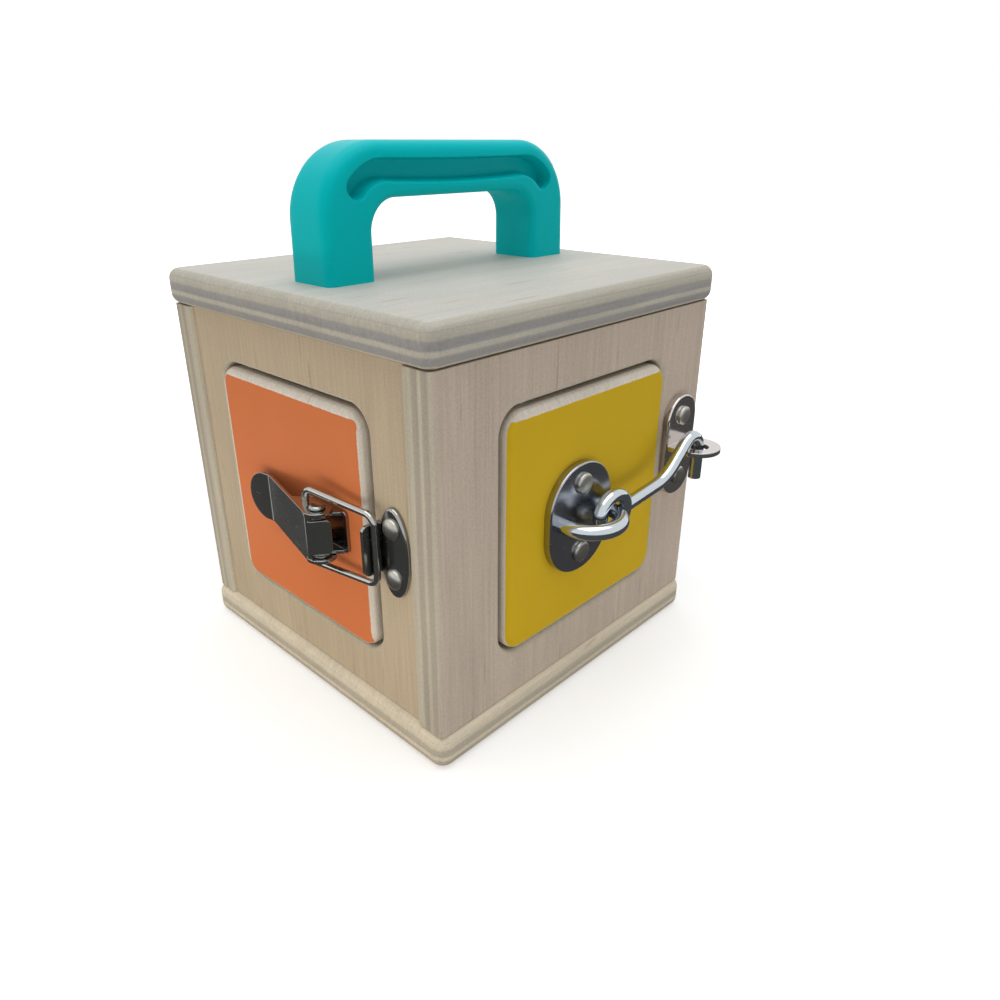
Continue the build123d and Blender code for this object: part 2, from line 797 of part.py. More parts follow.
with BuildPart() as hook_keeper:
    add(make_plate(
        right_edge, keeper_along, keeper_up, keeper_width, keeper_height, keeper_side_radius, keeper_rivet_points,
        plate_rivet_shank,
    ))
    with BuildSketch(section(right_edge, keeper_tab_up + keeper_tab_thickness)):
        with Locations((keeper_along, 0)):
            tab = Rectangle(keeper_tab_width, keeper_tab_reach, align=(Align.CENTER, Align.MIN))
        fillet(tab.vertices().group_by(Axis.Y)[-1], keeper_tab_corner_radius)
        with Locations((hook_drop_along, (keeper_slot_start + keeper_slot_end) / 2)):
            SlotOverall(keeper_slot_end - keeper_slot_start, keeper_slot_width, rotation=90, mode=Mode.SUBTRACT)
    extrude(amount=keeper_tab_thickness)
save(hook_keeper.part, "hook_keeper")

keeper_rivets = make_rivets(
    right_edge, keeper_rivet_points, plate_thickness, plate_rivet_head, plate_rivet_rise, plate_rivet_shank,
    plate_rivet_depth + plate_thickness,
)
save(keeper_rivets, "keeper_rivets")

# Barrel bolt on the back door, drawn back at rest
bolt_axis = door_proud + sheet + bolt_seat_gap + bolt_rod_diameter / 2
guide_bore = bolt_rod_diameter / 2 + bolt_clearance
guide_outer = guide_bore + sheet
bolt_guides = (bolt_plate_start + bolt_guide_inset, bolt_plate_end - bolt_guide_inset - bolt_guide_width)
with BuildPart() as bolt_plate:
    with BuildSketch(back_edge.offset(door_proud)):
        with Locations(((bolt_plate_start + bolt_plate_end) / 2, 0)):
            RectangleRounded(bolt_plate_end - bolt_plate_start, bolt_plate_height, bolt_plate_corner)
    extrude(amount=sheet)
    for along in bolt_guides:
        with BuildSketch(upright(back_edge, along)):
            with Locations((0, bolt_axis)):
                Circle(guide_outer)
            with Locations((0, door_proud)):
                Rectangle(2 * guide_outer, bolt_axis - door_proud, align=(Align.CENTER, Align.MIN))
            with Locations((0, bolt_axis)):
                Circle(guide_bore, mode=Mode.SUBTRACT)
        extrude(amount=bolt_guide_width)
    with BuildSketch(back_edge.offset(door_proud)):
        with Locations(*bolt_plate_points):
            Circle(small_rivet_shank / 2)
    extrude(amount=sheet, mode=Mode.SUBTRACT)
save(bolt_plate.part, "bolt_plate")

bolt_plate_rivets = make_rivets(
    back_edge, bolt_plate_points, base_top, small_rivet_head, small_rivet_rise, small_rivet_shank,
    small_rivet_depth + sheet,
)
save(bolt_plate_rivets, "bolt_plate_rivets")

bolt_end = -door_gap - bolt_nose_inset
with BuildPart() as bolt_rod:
    with BuildSketch(upright(back_edge, bolt_guides[0] - bolt_tail)):
        with Locations((0, bolt_axis)):
            Circle(bolt_rod_diameter / 2)
    extrude(amount=bolt_end - bolt_guides[0] + bolt_tail)
    fillet(bolt_rod.edges().sort_by(Axis.X)[0], bolt_nose_round)
    with BuildSketch(back_edge.offset(bolt_axis)):
        with Locations((bolt_knob_along + bolt_knob_diameter / 2, 0)):
            Circle(bolt_knob_neck / 2)
    extrude(amount=bolt_knob_rise)
    with BuildSketch(back_edge.offset(bolt_axis + bolt_knob_rise)):
        with Locations((bolt_knob_along + bolt_knob_diameter / 2, 0)):
            Circle(bolt_knob_diameter / 2)
    extrude(amount=-bolt_knob_height)
    fillet(at_level(bolt_rod.edges(), back_edge, bolt_axis + bolt_knob_rise), bolt_nose_round)
save(bolt_rod.part, "bolt_rod")

with BuildPart() as bolt_keeper:
    with BuildSketch(back_edge):
        with Locations((bolt_keeper_start + bolt_keeper_width / 2, 0)):
            RectangleRounded(bolt_keeper_width, bolt_keeper_height, bolt_keeper_corner)
    extrude(amount=base_top)
    with BuildSketch(upright(back_edge, bolt_keeper_start)):
        with Locations((0, bolt_axis)):
            Circle(guide_outer)
        Rectangle(2 * guide_outer, bolt_axis, align=(Align.CENTER, Align.MIN))
    extrude(amount=bolt_keeper_width)
    with BuildSketch(upright(back_edge, bolt_keeper_start)):
        with Locations((0, bolt_axis)):
            Circle(guide_bore + bolt_clearance)
    extrude(amount=bolt_keeper_width, mode=Mode.SUBTRACT)
    with BuildSketch(back_edge):
        with Locations(*bolt_keeper_points):
            Circle(small_rivet_shank / 2)
    extrude(amount=base_top, mode=Mode.SUBTRACT)
save(bolt_keeper.part, "bolt_keeper")

bolt_keeper_rivets = make_rivets(
    back_edge, bolt_keeper_points, base_top, small_rivet_head, small_rivet_rise, small_rivet_shank,
    small_rivet_depth + base_top,
)
save(bolt_keeper_rivets, "bolt_keeper_rivets")

# Turn button on the wall beside the left door, upright at rest
button_seat = door_proud + button_door_gap
with BuildPart() as button_spacer:
    with BuildSketch(left_edge):
        with Locations((button_along, 0)):
            Circle(spacer_diameter / 2)
            Circle(button_screw_shank / 2, mode=Mode.SUBTRACT)
    extrude(amount=button_seat)
save(button_spacer.part, "button_spacer")

with BuildPart() as turn_button:
    with BuildSketch(left_edge.offset(button_seat)):
        with Locations((button_along, 0)):
            SlotOverall(button_length, button_width, rotation=90)
    extrude(amount=button_thickness)
    fillet(at_level(turn_button.edges(), left_edge, button_seat + button_thickness), button_edge_round)
    with BuildSketch(left_edge.offset(button_seat)):
        with Locations((button_along, 0)):
            Circle(button_screw_shank / 2 + button_screw_clearance)
    extrude(amount=button_thickness, mode=Mode.SUBTRACT)
save(turn_button.part, "turn_button")

with BuildPart() as button_screw:
    screw_seat = button_seat + button_thickness + button_screw_gap
    add(make_rivets(
        left_edge, [(button_along, 0)], screw_seat, button_screw_head, button_screw_rise, button_screw_shank,
        button_screw_depth + screw_seat,
    ))
save(button_screw.part, "button_screw")
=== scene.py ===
"""Dresses the lock box: plywood, painted doors, moulded handle and metal fastenings."""

import json
import logging
import math
from dataclasses import dataclass, field
from enum import Enum
from typing import Iterable, Optional, Sequence, Union

import bmesh
import bpy
from mathutils import Euler, Matrix, Vector


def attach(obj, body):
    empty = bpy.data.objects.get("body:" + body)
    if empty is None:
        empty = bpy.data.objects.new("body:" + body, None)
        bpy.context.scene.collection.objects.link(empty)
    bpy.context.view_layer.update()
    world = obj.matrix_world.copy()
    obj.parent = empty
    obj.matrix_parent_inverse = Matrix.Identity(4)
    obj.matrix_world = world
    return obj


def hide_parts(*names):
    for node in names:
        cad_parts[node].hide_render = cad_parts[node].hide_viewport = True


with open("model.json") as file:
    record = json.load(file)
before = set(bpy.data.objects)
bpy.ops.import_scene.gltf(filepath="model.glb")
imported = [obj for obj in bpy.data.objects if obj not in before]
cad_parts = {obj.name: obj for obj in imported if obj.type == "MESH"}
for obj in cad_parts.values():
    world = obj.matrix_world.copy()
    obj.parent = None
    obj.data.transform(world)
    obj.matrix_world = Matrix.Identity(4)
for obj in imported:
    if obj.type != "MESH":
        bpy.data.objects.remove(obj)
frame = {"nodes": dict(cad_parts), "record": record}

LOG = logging.getLogger("lock_box")
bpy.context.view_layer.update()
MM = 0.001
MERGE_DISTANCE = 2e-6

Colour = tuple[float, float, float]
Socket = bpy.types.NodeSocket
Feed = Union[Socket, float, Colour, Sequence[float]]


def srgb(red: int, green: int, blue: int) -> Colour:
    """Turn a colour of 0 to 255 a channel into the linear colour that a shader takes.

    Args:
        red: Red as seen on a screen.
        green: Green as seen on a screen.
        blue: Blue as seen on a screen.

    Returns:
        The linear colour.
    """

    def linear(value: int) -> float:
        """One channel made linear."""
        share = value / 255
        return share / 12.92 if share <= 0.04045 else ((share + 0.055) / 1.055) ** 2.4

    return linear(red), linear(green), linear(blue)


class Axis(Enum):
    """Axis of the shared frame, named by its place in a vector."""

    X = 0
    Y = 1
    Z = 2


class Side(Enum):
    """Wall of the box, with its outward axis, its sign and the axis that runs to the right."""

    FRONT = ("front", Axis.Y, -1, Axis.X)
    RIGHT = ("right", Axis.X, 1, Axis.Y)
    BACK = ("back", Axis.Y, 1, Axis.X)
    LEFT = ("left", Axis.X, -1, Axis.Y)

    @property
    def word(self) -> str:
        """Plain name of the wall."""
        return self.value[0]

    @property
    def outward(self) -> Axis:
        """Axis that points out of the wall."""
        return self.value[1]

    @property
    def sign(self) -> int:
        """Way along the outward axis that leads out of the box."""
        return self.value[2]

    @property
    def along(self) -> Axis:
        """Level axis that runs along the wall."""
        return self.value[3]


@dataclass(frozen=True)
class BoxSizes:
    """Main sizes of the box in metres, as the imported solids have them."""

    wall_face: float = 73.5 * MM
    panel_face: float = 72.0 * MM
    wall_thickness: float = 12.6 * MM
    door_proud: float = 1.8 * MM
    door_thickness: float = 14.1 * MM
    board_thickness: float = 13.3 * MM
    body_height: float = 151.9 * MM

    def face_of(self, side: Side) -> float:
        """Distance of a wall's outer face from the middle of the box."""
        return self.panel_face if side.outward is Axis.Y else self.wall_face

    @property
    def middle(self) -> float:
        """Height of the middle of the walls."""
        return self.body_height / 2


SIZES = BoxSizes()


class Graph:
    """Adds nodes to one tree and links them, so that a material reads from top to bottom."""

    def __init__(self, tree: bpy.types.NodeTree) -> None:
        """Keep the tree that nodes are added to."""
        self.tree = tree
        self.count = 0

    def add(self, kind: str, **settings: object) -> bpy.types.Node:
        """Add one node.

        Args:
            kind: Blender's name of the node.
            settings: Properties that are set on it.

        Returns:
            The new node.
        """
        node = self.tree.nodes.new(kind)
        node.location = (220 * (self.count % 8), -260 * (self.count // 8))
        self.count += 1
        for name, value in settings.items():
            setattr(node, name, value)
        return node

    def feed(self, target: Socket, value: Feed) -> None:
        """Link a socket into an input, or set the input's own value.

        Args:
            target: The input.
            value: A socket to link, or a number, colour or vector to set.
        """
        if isinstance(value, bpy.types.NodeSocket):
            self.tree.links.new(value, target)
        elif isinstance(value, (int, float)):
            target.default_value = value
        elif len(value) == 3 and target.type == "RGBA":
            target.default_value = (*value, 1.0)
        else:
            target.default_value = value

    def math(self, operation: str, *values: Feed, clamp: bool = False) -> Socket:
        """Add a Math node.

        Args:
            operation: Blender's name of the operation.
            values: Its inputs in order.
            clamp: Whether the result is kept between 0 and 1.

        Returns:
            The result.
        """
        node = self.add("ShaderNodeMath", operation=operation, use_clamp=clamp)
        for target, value in zip(node.inputs, values):
            self.feed(target, value)
        return node.outputs[0]

    def remap(self, value: Feed, low: float, high: float, to_low: float = 0.0, to_high: float = 1.0) -> Socket:
        """Map a range onto another with soft ends.

        Args:
            value: What is mapped.
            low: Value that gives to_low.
            high: Value that gives to_high.
            to_low: Result at the low end.
            to_high: Result at the high end.

        Returns:
            The mapped value.
        """
        node = self.add("ShaderNodeMapRange", interpolation_type="SMOOTHSTEP")
        names = ("Value", "From Min", "From Max", "To Min", "To Max")
        for name, item in zip(names, (value, low, high, to_low, to_high)):
            self.feed(node.inputs[name], item)
        return node.outputs["Result"]

    def mix(self, factor: Feed, first: Feed, second: Feed, blend: str = "MIX") -> Socket:
        """Mix two colours.

        Args:
            factor: Share of the second colour.
            first: Colour at 0.
            second: Colour at 1.
            blend: Blender's name of the blend.

        Returns:
            The mixed colour.
        """
        node = self.add("ShaderNodeMix", data_type="RGBA", blend_type=blend)
        node.clamp_factor = True
        self.feed(node.inputs[0], factor)
        self.feed(node.inputs[6], first)
        self.feed(node.inputs[7], second)
        return node.outputs[2]

    def vector(self, x: Feed, y: Feed, z: Feed) -> Socket:
        """Join three numbers into a vector.

        Args:
            x: First part.
            y: Second part.
            z: Third part.

        Returns:
            The vector.
        """
        node = self.add("ShaderNodeCombineXYZ")
        for target, value in zip(node.inputs, (x, y, z)):
            self.feed(target, value)
        return node.outputs[0]

    def stretched(self, parts: Sequence[Socket], factors: Sequence[float]) -> Socket:
        """Vector whose parts have their own factors, for a pattern that runs one way."""
        return self.vector(*(self.math("MULTIPLY", part, factor) for part, factor in zip(parts, factors)))

    def swing(self, value: Feed, strength: Feed) -> Socket:
        """Value around 0.5 made to swing about 0 with a strength."""
        return self.math("MULTIPLY", self.math("SUBTRACT", value, 0.5), strength)

    def noise(self, place: Feed, scale: float = 1.0, detail: float = 2.0, rough: float = 0.5) -> Socket:
        """Noise value at a place.

        Args:
            place: Vector that is looked up.
            scale: Fineness.
            detail: Number of finer layers.
            rough: Strength of the finer layers.

        Returns:
            A value around 0.5.
        """
        node = self.add("ShaderNodeTexNoise")
        self.feed(node.inputs["Vector"], place)
        self.feed(node.inputs["Scale"], scale)
        self.feed(node.inputs["Detail"], detail)
        self.feed(node.inputs["Roughness"], rough)
        return node.outputs["Fac"]

    def object_place(self) -> Socket:
        """Object coordinates, in metres in the shared frame."""
        return self.add("ShaderNodeTexCoord").outputs["Object"]

    def split(self, vector: Socket) -> tuple[Socket, Socket, Socket]:
        """Take a vector apart.

        Args:
            vector: The vector.

        Returns:
            Its three parts.
        """
        node = self.add("ShaderNodeSeparateXYZ")
        self.feed(node.inputs[0], vector)
        return node.outputs[0], node.outputs[1], node.outputs[2]

    def group(self, tree: bpy.types.NodeTree, **values: Feed) -> bpy.types.Node:
        """Place a node group and feed its inputs by name.

        Args:
            tree: The group.
            values: Its inputs, with underscores for the spaces in their names.

        Returns:
            The group's node.
        """
        node = self.add("ShaderNodeGroup", node_tree=tree)
        for name, value in values.items():
            self.feed(node.inputs[name.replace("_", " ")], value)
        return node

    def bump(self, height: Feed, strength: float, distance: float, normal: Optional[Socket] = None) -> Socket:
        """Turn a height into a normal.

        Args:
            height: The height's pattern.
            strength: Share of the effect.
            distance: Depth of the pattern in metres.
            normal: Normal that the pattern starts from, or None for the surface's own.

        Returns:
            The normal.
        """
        node = self.add("ShaderNodeBump")
        if normal is not None:
            self.feed(node.inputs["Normal"], normal)
        self.feed(node.inputs["Strength"], strength)
        self.feed(node.inputs["Distance"], distance)
        self.feed(node.inputs["Height"], height)
        return node.outputs["Normal"]


class Looks:
    """Shader node groups that several finishes share, each built once.

    Attributes:
        PLIES: Places across the plywood from its first face, each with the share of the dark ply; besides the real
            layers they paint light and shade on the rounded edges, light over the first third and dark bands towards
            the second face.
        SKIN: Distance from the middle, as a share of the thickness, past which the veneer shows.
    """

    PLIES = (
        (0.0, 0.05), (0.16, 0.1), (0.18, 0.45), (0.2, 0.1), (0.33, 0.15), (0.39, 0.85),
        (0.55, 1.0), (0.6, 0.1), (0.67, 0.1), (0.72, 0.9), (0.87, 1.0), (0.92, 0.1),
    )
    SKIN = 0.485
    _made: dict[str, bpy.types.NodeTree] = {}

    @classmethod
    def _start(
        cls, name: str, inputs: Iterable[tuple[str, str, Feed]], outputs: Iterable[tuple[str, str]]
    ) -> tuple[Graph, dict[str, Socket], bpy.types.Node]:
        """Open a new group.

        Args:
            name: The group's name.
            inputs: Name, socket kind and first value of each input.
            outputs: Name and socket kind of each output.

        Returns:
            The graph, its inputs by name and its output node.
        """
        tree = bpy.data.node_groups.new(name, "ShaderNodeTree")
        for label, kind, value in inputs:
            socket = tree.interface.new_socket(name=label, in_out="INPUT", socket_type=kind)
            socket.default_value = (*value, 1.0) if kind == "NodeSocketColor" else value
        for label, kind in outputs:
            tree.interface.new_socket(name=label, in_out="OUTPUT", socket_type=kind)
        graph = Graph(tree)
        entry = graph.add("NodeGroupInput")
        leave = graph.add("NodeGroupOutput")
        cls._made[name] = tree
        return graph, {socket.name: socket for socket in entry.outputs}, leave

    @classmethod
    def plywood(cls) -> bpy.types.NodeTree:
        """Layers across the thickness and long fine grain in the face.

        Returns:
            The node group.
        """
        if "Plywood layers" in cls._made:
            return cls._made["Plywood layers"]
        g, given, leave = cls._start(
            "Plywood layers",
            (
                ("Across", "NodeSocketFloat", 0.5),
                ("Grain", "NodeSocketVector", (0.0, 0.0, 0.0)),
                ("Veneer", "NodeSocketColor", (0.5, 0.5, 0.5)),
                ("Light ply", "NodeSocketColor", (0.5, 0.5, 0.5)),
                ("Dark ply", "NodeSocketColor", (0.5, 0.5, 0.5)),
                ("Streak", "NodeSocketFloat", 0.5),
            ),
            (("Color", "NodeSocketColor"), ("Roughness", "NodeSocketFloat"), ("Height", "NodeSocketFloat")),
        )
        grain = g.split(given["Grain"])
        fine = g.noise(g.stretched(grain, (22.0, 900.0, 500.0)), detail=3.0, rough=0.6)
        broad = g.noise(g.stretched(grain, (7.0, 60.0, 60.0)), detail=2.0)
        cloud = g.noise(given["Grain"], scale=28.0, detail=2.0)
        vessel = g.noise(g.stretched(grain, (26.0, 330.0, 1.0)), detail=1.0)
        line = g.remap(vessel, 0.69, 0.75)
        wobble = g.swing(g.noise(given["Grain"], scale=60.0, detail=2.0), 0.035)
        place = g.math("ADD", given["Across"], wobble)
        # Real ply layers, plus painted light and shade on the rounded edges: light over the first third by the first
        # face, dark bands towards the second face.
        ramp = g.add("ShaderNodeValToRGB")
        ramp.color_ramp.interpolation = "LINEAR"
        points = ramp.color_ramp.elements
        while len(points) < len(cls.PLIES):
            points.new(0.5)
        for point, (position, value) in zip(points, cls.PLIES):
            point.position = position
            point.color = (value, value, value, 1.0)
        g.feed(ramp.inputs[0], place)
        layered = g.mix(ramp.outputs[0], given["Light ply"], given["Dark ply"])
        skin = g.math("GREATER_THAN", g.math("ABSOLUTE", g.math("SUBTRACT", given["Across"], 0.5)), cls.SKIN)
        base = g.mix(skin, layered, given["Veneer"])
        tone = g.math(
            "ADD",
            g.swing(fine, g.math("MULTIPLY", given["Streak"], 0.8)),
            g.swing(broad, g.math("MULTIPLY", given["Streak"], 0.5)),
        )
        tone = g.math("ADD", tone, g.swing(cloud, 0.1))
        speck = g.noise(given["Grain"], scale=1500.0, detail=3.0, rough=0.7)
        tone = g.math("ADD", tone, g.swing(speck, 0.5))
        tone = g.math("SUBTRACT", tone, g.math("MULTIPLY", line, g.math("MULTIPLY", given["Streak"], 0.13)))
        shade = g.math("ADD", 1.0, tone)
        coloured = g.mix(1.0, base, g.vector(shade, shade, shade), blend="MULTIPLY")
        warm = g.mix(g.math("MULTIPLY", line, 0.4), coloured, (0.36, 0.22, 0.12))
        g.feed(leave.inputs["Color"], warm)
        g.feed(leave.inputs["Roughness"], g.math("ADD", 0.5, g.math("MULTIPLY", fine, 0.16)))
        g.feed(leave.inputs["Height"], g.math("ADD", fine, g.math("MULTIPLY", ramp.outputs[0], -0.35)))
        return g.tree

    @classmethod
    def patch(cls) -> bpy.types.NodeTree:
        """Mask of a painted patch with round corners and a slightly uneven rim.

        Returns:
            The node group.
        """
        if "Painted patch" in cls._made:
            return cls._made["Painted patch"]
        g, given, leave = cls._start(
            "Painted patch",
            (
                ("Along", "NodeSocketFloat", 0.0),
                ("Up", "NodeSocketFloat", 0.0),
                ("Half width", "NodeSocketFloat", 0.04),
                ("Half height", "NodeSocketFloat", 0.04),
                ("Corner", "NodeSocketFloat", 0.005),
                ("Place", "NodeSocketVector", (0.0, 0.0, 0.0)),
            ),
            (("Mask", "NodeSocketFloat"),),
        )
        reach = []
        for name, half in (("Along", "Half width"), ("Up", "Half height")):
            straight = g.math("SUBTRACT", given[half], given["Corner"])
            reach.append(g.math("SUBTRACT", g.math("ABSOLUTE", given[name]), straight))
        outside = g.math(
            "SQRT",
            g.math(
                "ADD",
                g.math("POWER", g.math("MAXIMUM", reach[0], 0.0), 2.0),
                g.math("POWER", g.math("MAXIMUM", reach[1], 0.0), 2.0),
            ),
        )
        inside = g.math("MINIMUM", g.math("MAXIMUM", reach[0], reach[1]), 0.0)
        distance = g.math("SUBTRACT", g.math("ADD", outside, inside), given["Corner"])
        uneven = g.swing(g.noise(given["Place"], scale=420.0, detail=2.0), 0.0005)
        distance = g.math("ADD", distance, uneven)
        g.feed(leave.inputs["Mask"], g.remap(distance, 0.00012, -0.00012))
        return g.tree

    @classmethod
    def handling(cls) -> bpy.types.NodeTree:
        """Soft smudges and fine scratches left by hands.

        Returns:
            The node group.
        """
        if "Handling marks" in cls._made:
            return cls._made["Handling marks"]
        g, given, leave = cls._start(
            "Handling marks",
            (
                ("Place", "NodeSocketVector", (0.0, 0.0, 0.0)),
                ("Smudge", "NodeSocketFloat", 0.3),
                ("Base", "NodeSocketFloat", 0.3),
            ),
            (("Roughness", "NodeSocketFloat"), ("Height", "NodeSocketFloat"), ("Scratch", "NodeSocketFloat")),
        )
        soft = g.noise(given["Place"], scale=95.0, detail=3.0)
        grit = g.noise(given["Place"], scale=900.0, detail=2.0)
        hair = g.noise(g.stretched(g.split(given["Place"]), (90.0, 90.0, 1500.0)), detail=1.0)
        scratch = g.remap(hair, 0.71, 0.76)
        smudge = g.math("SUBTRACT", g.math("ADD", soft, g.math("MULTIPLY", grit, 0.4)), 0.7)
        rough = g.math("ADD", given["Base"], g.math("MULTIPLY", given["Smudge"], smudge))
        g.feed(leave.inputs["Roughness"], g.math("ADD", rough, g.math("MULTIPLY", scratch, 0.12), clamp=True))
        g.feed(leave.inputs["Height"], g.math("ADD", grit, g.math("MULTIPLY", soft, 0.6)))
        g.feed(leave.inputs["Scratch"], scratch)
        return g.tree


def blank_material(name: str) -> tuple[bpy.types.Material, Graph, bpy.types.Node]:
    """Start a material that holds only a Principled shader.

    Args:
        name: The material's name.

    Returns:
        The material, a graph on its tree and the shader.
    """
    material = bpy.data.materials.new(name)
    material.use_nodes = True
    material.node_tree.nodes.clear()
    graph = Graph(material.node_tree)
    shader = graph.add("ShaderNodeBsdfPrincipled")
    end = graph.add("ShaderNodeOutputMaterial")
    graph.feed(end.inputs["Surface"], shader.outputs[0])
    return material, graph, shader


@dataclass(frozen=True)
class PlywoodFinish:
    """Bare plywood whose layers lie across one axis.

    Attributes:
        name: The material's name.
        layers: Axis across the layers.
        inner: Place of the first face along that axis, in metres.
        outer: Place of the second face along that axis, in metres.
        grain: Axis along the grain of the outer veneer.
        mirrored: Whether the same layers stand on both sides of the box.
        veneer: Colour of the outer veneer.
        light_ply: Colour of the lighter layers.
        dark_ply: Colour of the darker layers.
        streak: Strength of the grain.
        shine: Specular level of the sanded face.
    """

    name: str
    layers: Axis
    inner: float
    outer: float
    grain: Axis
    mirrored: bool = True
    veneer: Colour = srgb(197, 181, 165)
    light_ply: Colour = srgb(197, 188, 168)
    dark_ply: Colour = srgb(174, 163, 148)
    streak: float = 0.5
    shine: float = 0.2

    def wood(self, graph: Graph) -> tuple[bpy.types.Node, Socket, tuple[Socket, Socket, Socket]]:
        """Place the plywood group for these layers.

        Args:
            graph: Graph of the material.

        Returns:
            The group's node, the place and its three parts.
        """
        place = graph.object_place()
        parts = graph.split(place)
        across = parts[self.layers.value]
        if self.mirrored:
            across = graph.math("ABSOLUTE", across)
        share = graph.math("DIVIDE", graph.math("SUBTRACT", across, self.inner), self.outer - self.inner)
        sideways = [axis for axis in Axis if axis not in (self.grain, self.layers)]
        other = sideways[0] if sideways else self.layers
        grain = graph.vector(parts[self.grain.value], parts[other.value], parts[self.layers.value])
        node = graph.group(
            Looks.plywood(),
            Across=share,
            Grain=grain,
            Veneer=self.veneer,
            Light_ply=self.light_ply,
            Dark_ply=self.dark_ply,
            Streak=self.streak,
        )
        return node, place, parts

    def material(self) -> bpy.types.Material:
        """Build the material.

        Returns:
            The material.
        """
        material, graph, shader = blank_material(self.name)
        node, _, _ = self.wood(graph)
        graph.feed(shader.inputs["Base Color"], node.outputs["Color"])
        graph.feed(shader.inputs["Roughness"], node.outputs["Roughness"])
        graph.feed(shader.inputs["Specular IOR Level"], self.shine)
        graph.feed(shader.inputs["Normal"], graph.bump(node.outputs["Height"], 0.25, 0.0001))
        return material


@dataclass(frozen=True)
class PaintedDoorFinish(PlywoodFinish):
    """Plywood door whose front carries a painted patch.

    Attributes:
        paint: Colour of the paint.
        side: Wall that the door closes.
        patch_along: Middle of the patch to the right, along the wall's axis.
        patch_up: Middle of the patch above the floor.
        patch_half: Half width and half height of the patch.
        patch_corner: Corner radius of the patch.
        paint_end: Depths below the front between which the paint stops on the rounded edge.
    """

    paint: Colour = (0.8, 0.3, 0.1)
    side: Side = Side.FRONT
    patch_along: float = 0.0
    patch_up: float = SIZES.middle
    patch_half: tuple[float, float] = (0.04, 0.042)
    patch_corner: float = 0.0025
    paint_end: tuple[float, float] = (0.0016, 0.0012)

    def material(self) -> bpy.types.Material:
        """Build the material.

        Returns:
            The material.
        """
        material, graph, shader = blank_material(self.name)
        node, place, parts = self.wood(graph)
        patch = graph.group(
            Looks.patch(),
            Along=graph.math("SUBTRACT", parts[self.side.along.value], self.patch_along),
            Up=graph.math("SUBTRACT", parts[Axis.Z.value], self.patch_up),
            Half_width=self.patch_half[0],
            Half_height=self.patch_half[1],
            Corner=self.patch_corner,
            Place=place,
        )
        front = SIZES.face_of(self.side) + SIZES.door_proud
        out = graph.math("MULTIPLY", parts[self.side.outward.value], float(self.side.sign))
        on_face = graph.remap(out, front - self.paint_end[0], front - self.paint_end[1])
        mask = graph.math("MULTIPLY", patch.outputs["Mask"], on_face)
        mottle = graph.noise(place, scale=70.0, detail=2.0)
        grit = graph.noise(place, scale=1600.0, detail=2.0)
        tone = graph.math(
            "ADD",
            0.965,
            graph.math("ADD", graph.math("MULTIPLY", mottle, 0.05), graph.math("MULTIPLY", grit, 0.02)),
        )
        paint = graph.mix(1.0, self.paint, graph.vector(tone, tone, tone), blend="MULTIPLY")
        graph.feed(shader.inputs["Base Color"], graph.mix(mask, node.outputs["Color"], paint))
        rough = graph.math(
            "ADD",
            graph.math("MULTIPLY", node.outputs["Roughness"], graph.math("SUBTRACT", 1.0, mask)),
            graph.math("MULTIPLY", mask, 0.42),
        )
        graph.feed(shader.inputs["Roughness"], rough)
        graph.feed(shader.inputs["Specular IOR Level"], 0.1)
        filled = graph.math("SUBTRACT", 1.0, graph.math("MULTIPLY", mask, 0.7))
        relief = graph.math(
            "ADD",
            graph.math("MULTIPLY", node.outputs["Height"], filled),
            graph.math("MULTIPLY", mask, 1.2),
        )
        graph.feed(shader.inputs["Normal"], graph.bump(relief, 0.35, 0.0001))
        return material


@dataclass(frozen=True)
class MetalFinish:
    """Plated or bright metal with light marks of use.

    Attributes:
        name: The material's name.
        colour: Colour of the metal.
        roughness: Mean roughness.
        smudge: How much handling changes the roughness.
        worn_edge: Radius to which sharp edges have worn, in metres.
    """

    name: str
    colour: Colour
    roughness: float
    smudge: float = 0.2
    worn_edge: float = 0.0004

    def material(self) -> bpy.types.Material:
        """Build the material.

        Returns:
            The material.
        """
        material, graph, shader = blank_material(self.name)
        place = graph.object_place()
        marks = graph.group(Looks.handling(), Place=place, Smudge=self.smudge, Base=self.roughness)
        graph.feed(shader.inputs["Base Color"], self.colour)
        graph.feed(shader.inputs["Metallic"], 1.0)
        graph.feed(shader.inputs["Roughness"], marks.outputs["Roughness"])
        edge = graph.add("ShaderNodeBevel", samples=8)
        graph.feed(edge.inputs["Radius"], self.worn_edge)
        graph.feed(shader.inputs["Normal"], graph.bump(marks.outputs["Height"], 0.06, 0.00005, edge.outputs[0]))
        return material


@dataclass(frozen=True)
class PlasticFinish:
    """Moulded plastic with a soft shine and a few scuffs.

    Attributes:
        name: The material's name.
        colour: Colour of the plastic.
        roughness: Mean roughness.
    """

    name: str
    colour: Colour
    roughness: float

    def material(self) -> bpy.types.Material:
        """Build the material.

        Returns:
            The material.
        """
        material, graph, shader = blank_material(self.name)
        place = graph.object_place()
        marks = graph.group(Looks.handling(), Place=place, Smudge=0.12, Base=self.roughness)
        scuffed = graph.mix(graph.math("MULTIPLY", marks.outputs["Scratch"], 0.06), self.colour, srgb(120, 205, 205))
        graph.feed(shader.inputs["Base Color"], scuffed)
        graph.feed(shader.inputs["Roughness"], marks.outputs["Roughness"])
        graph.feed(shader.inputs["Specular IOR Level"], 0.07)
        graph.feed(shader.inputs["Normal"], graph.bump(marks.outputs["Height"], 0.1, 0.00006))
        return material


def into_scene(name: str, mesh: bpy.types.Mesh) -> bpy.types.Object:
    """Put a mesh into the scene as an object at the origin.

    Args:
        name: The object's name.
        mesh: The mesh.

    Returns:
        The object.
    """
    piece = bpy.data.objects.new(name, mesh)
    bpy.context.scene.collection.objects.link(piece)
    return piece


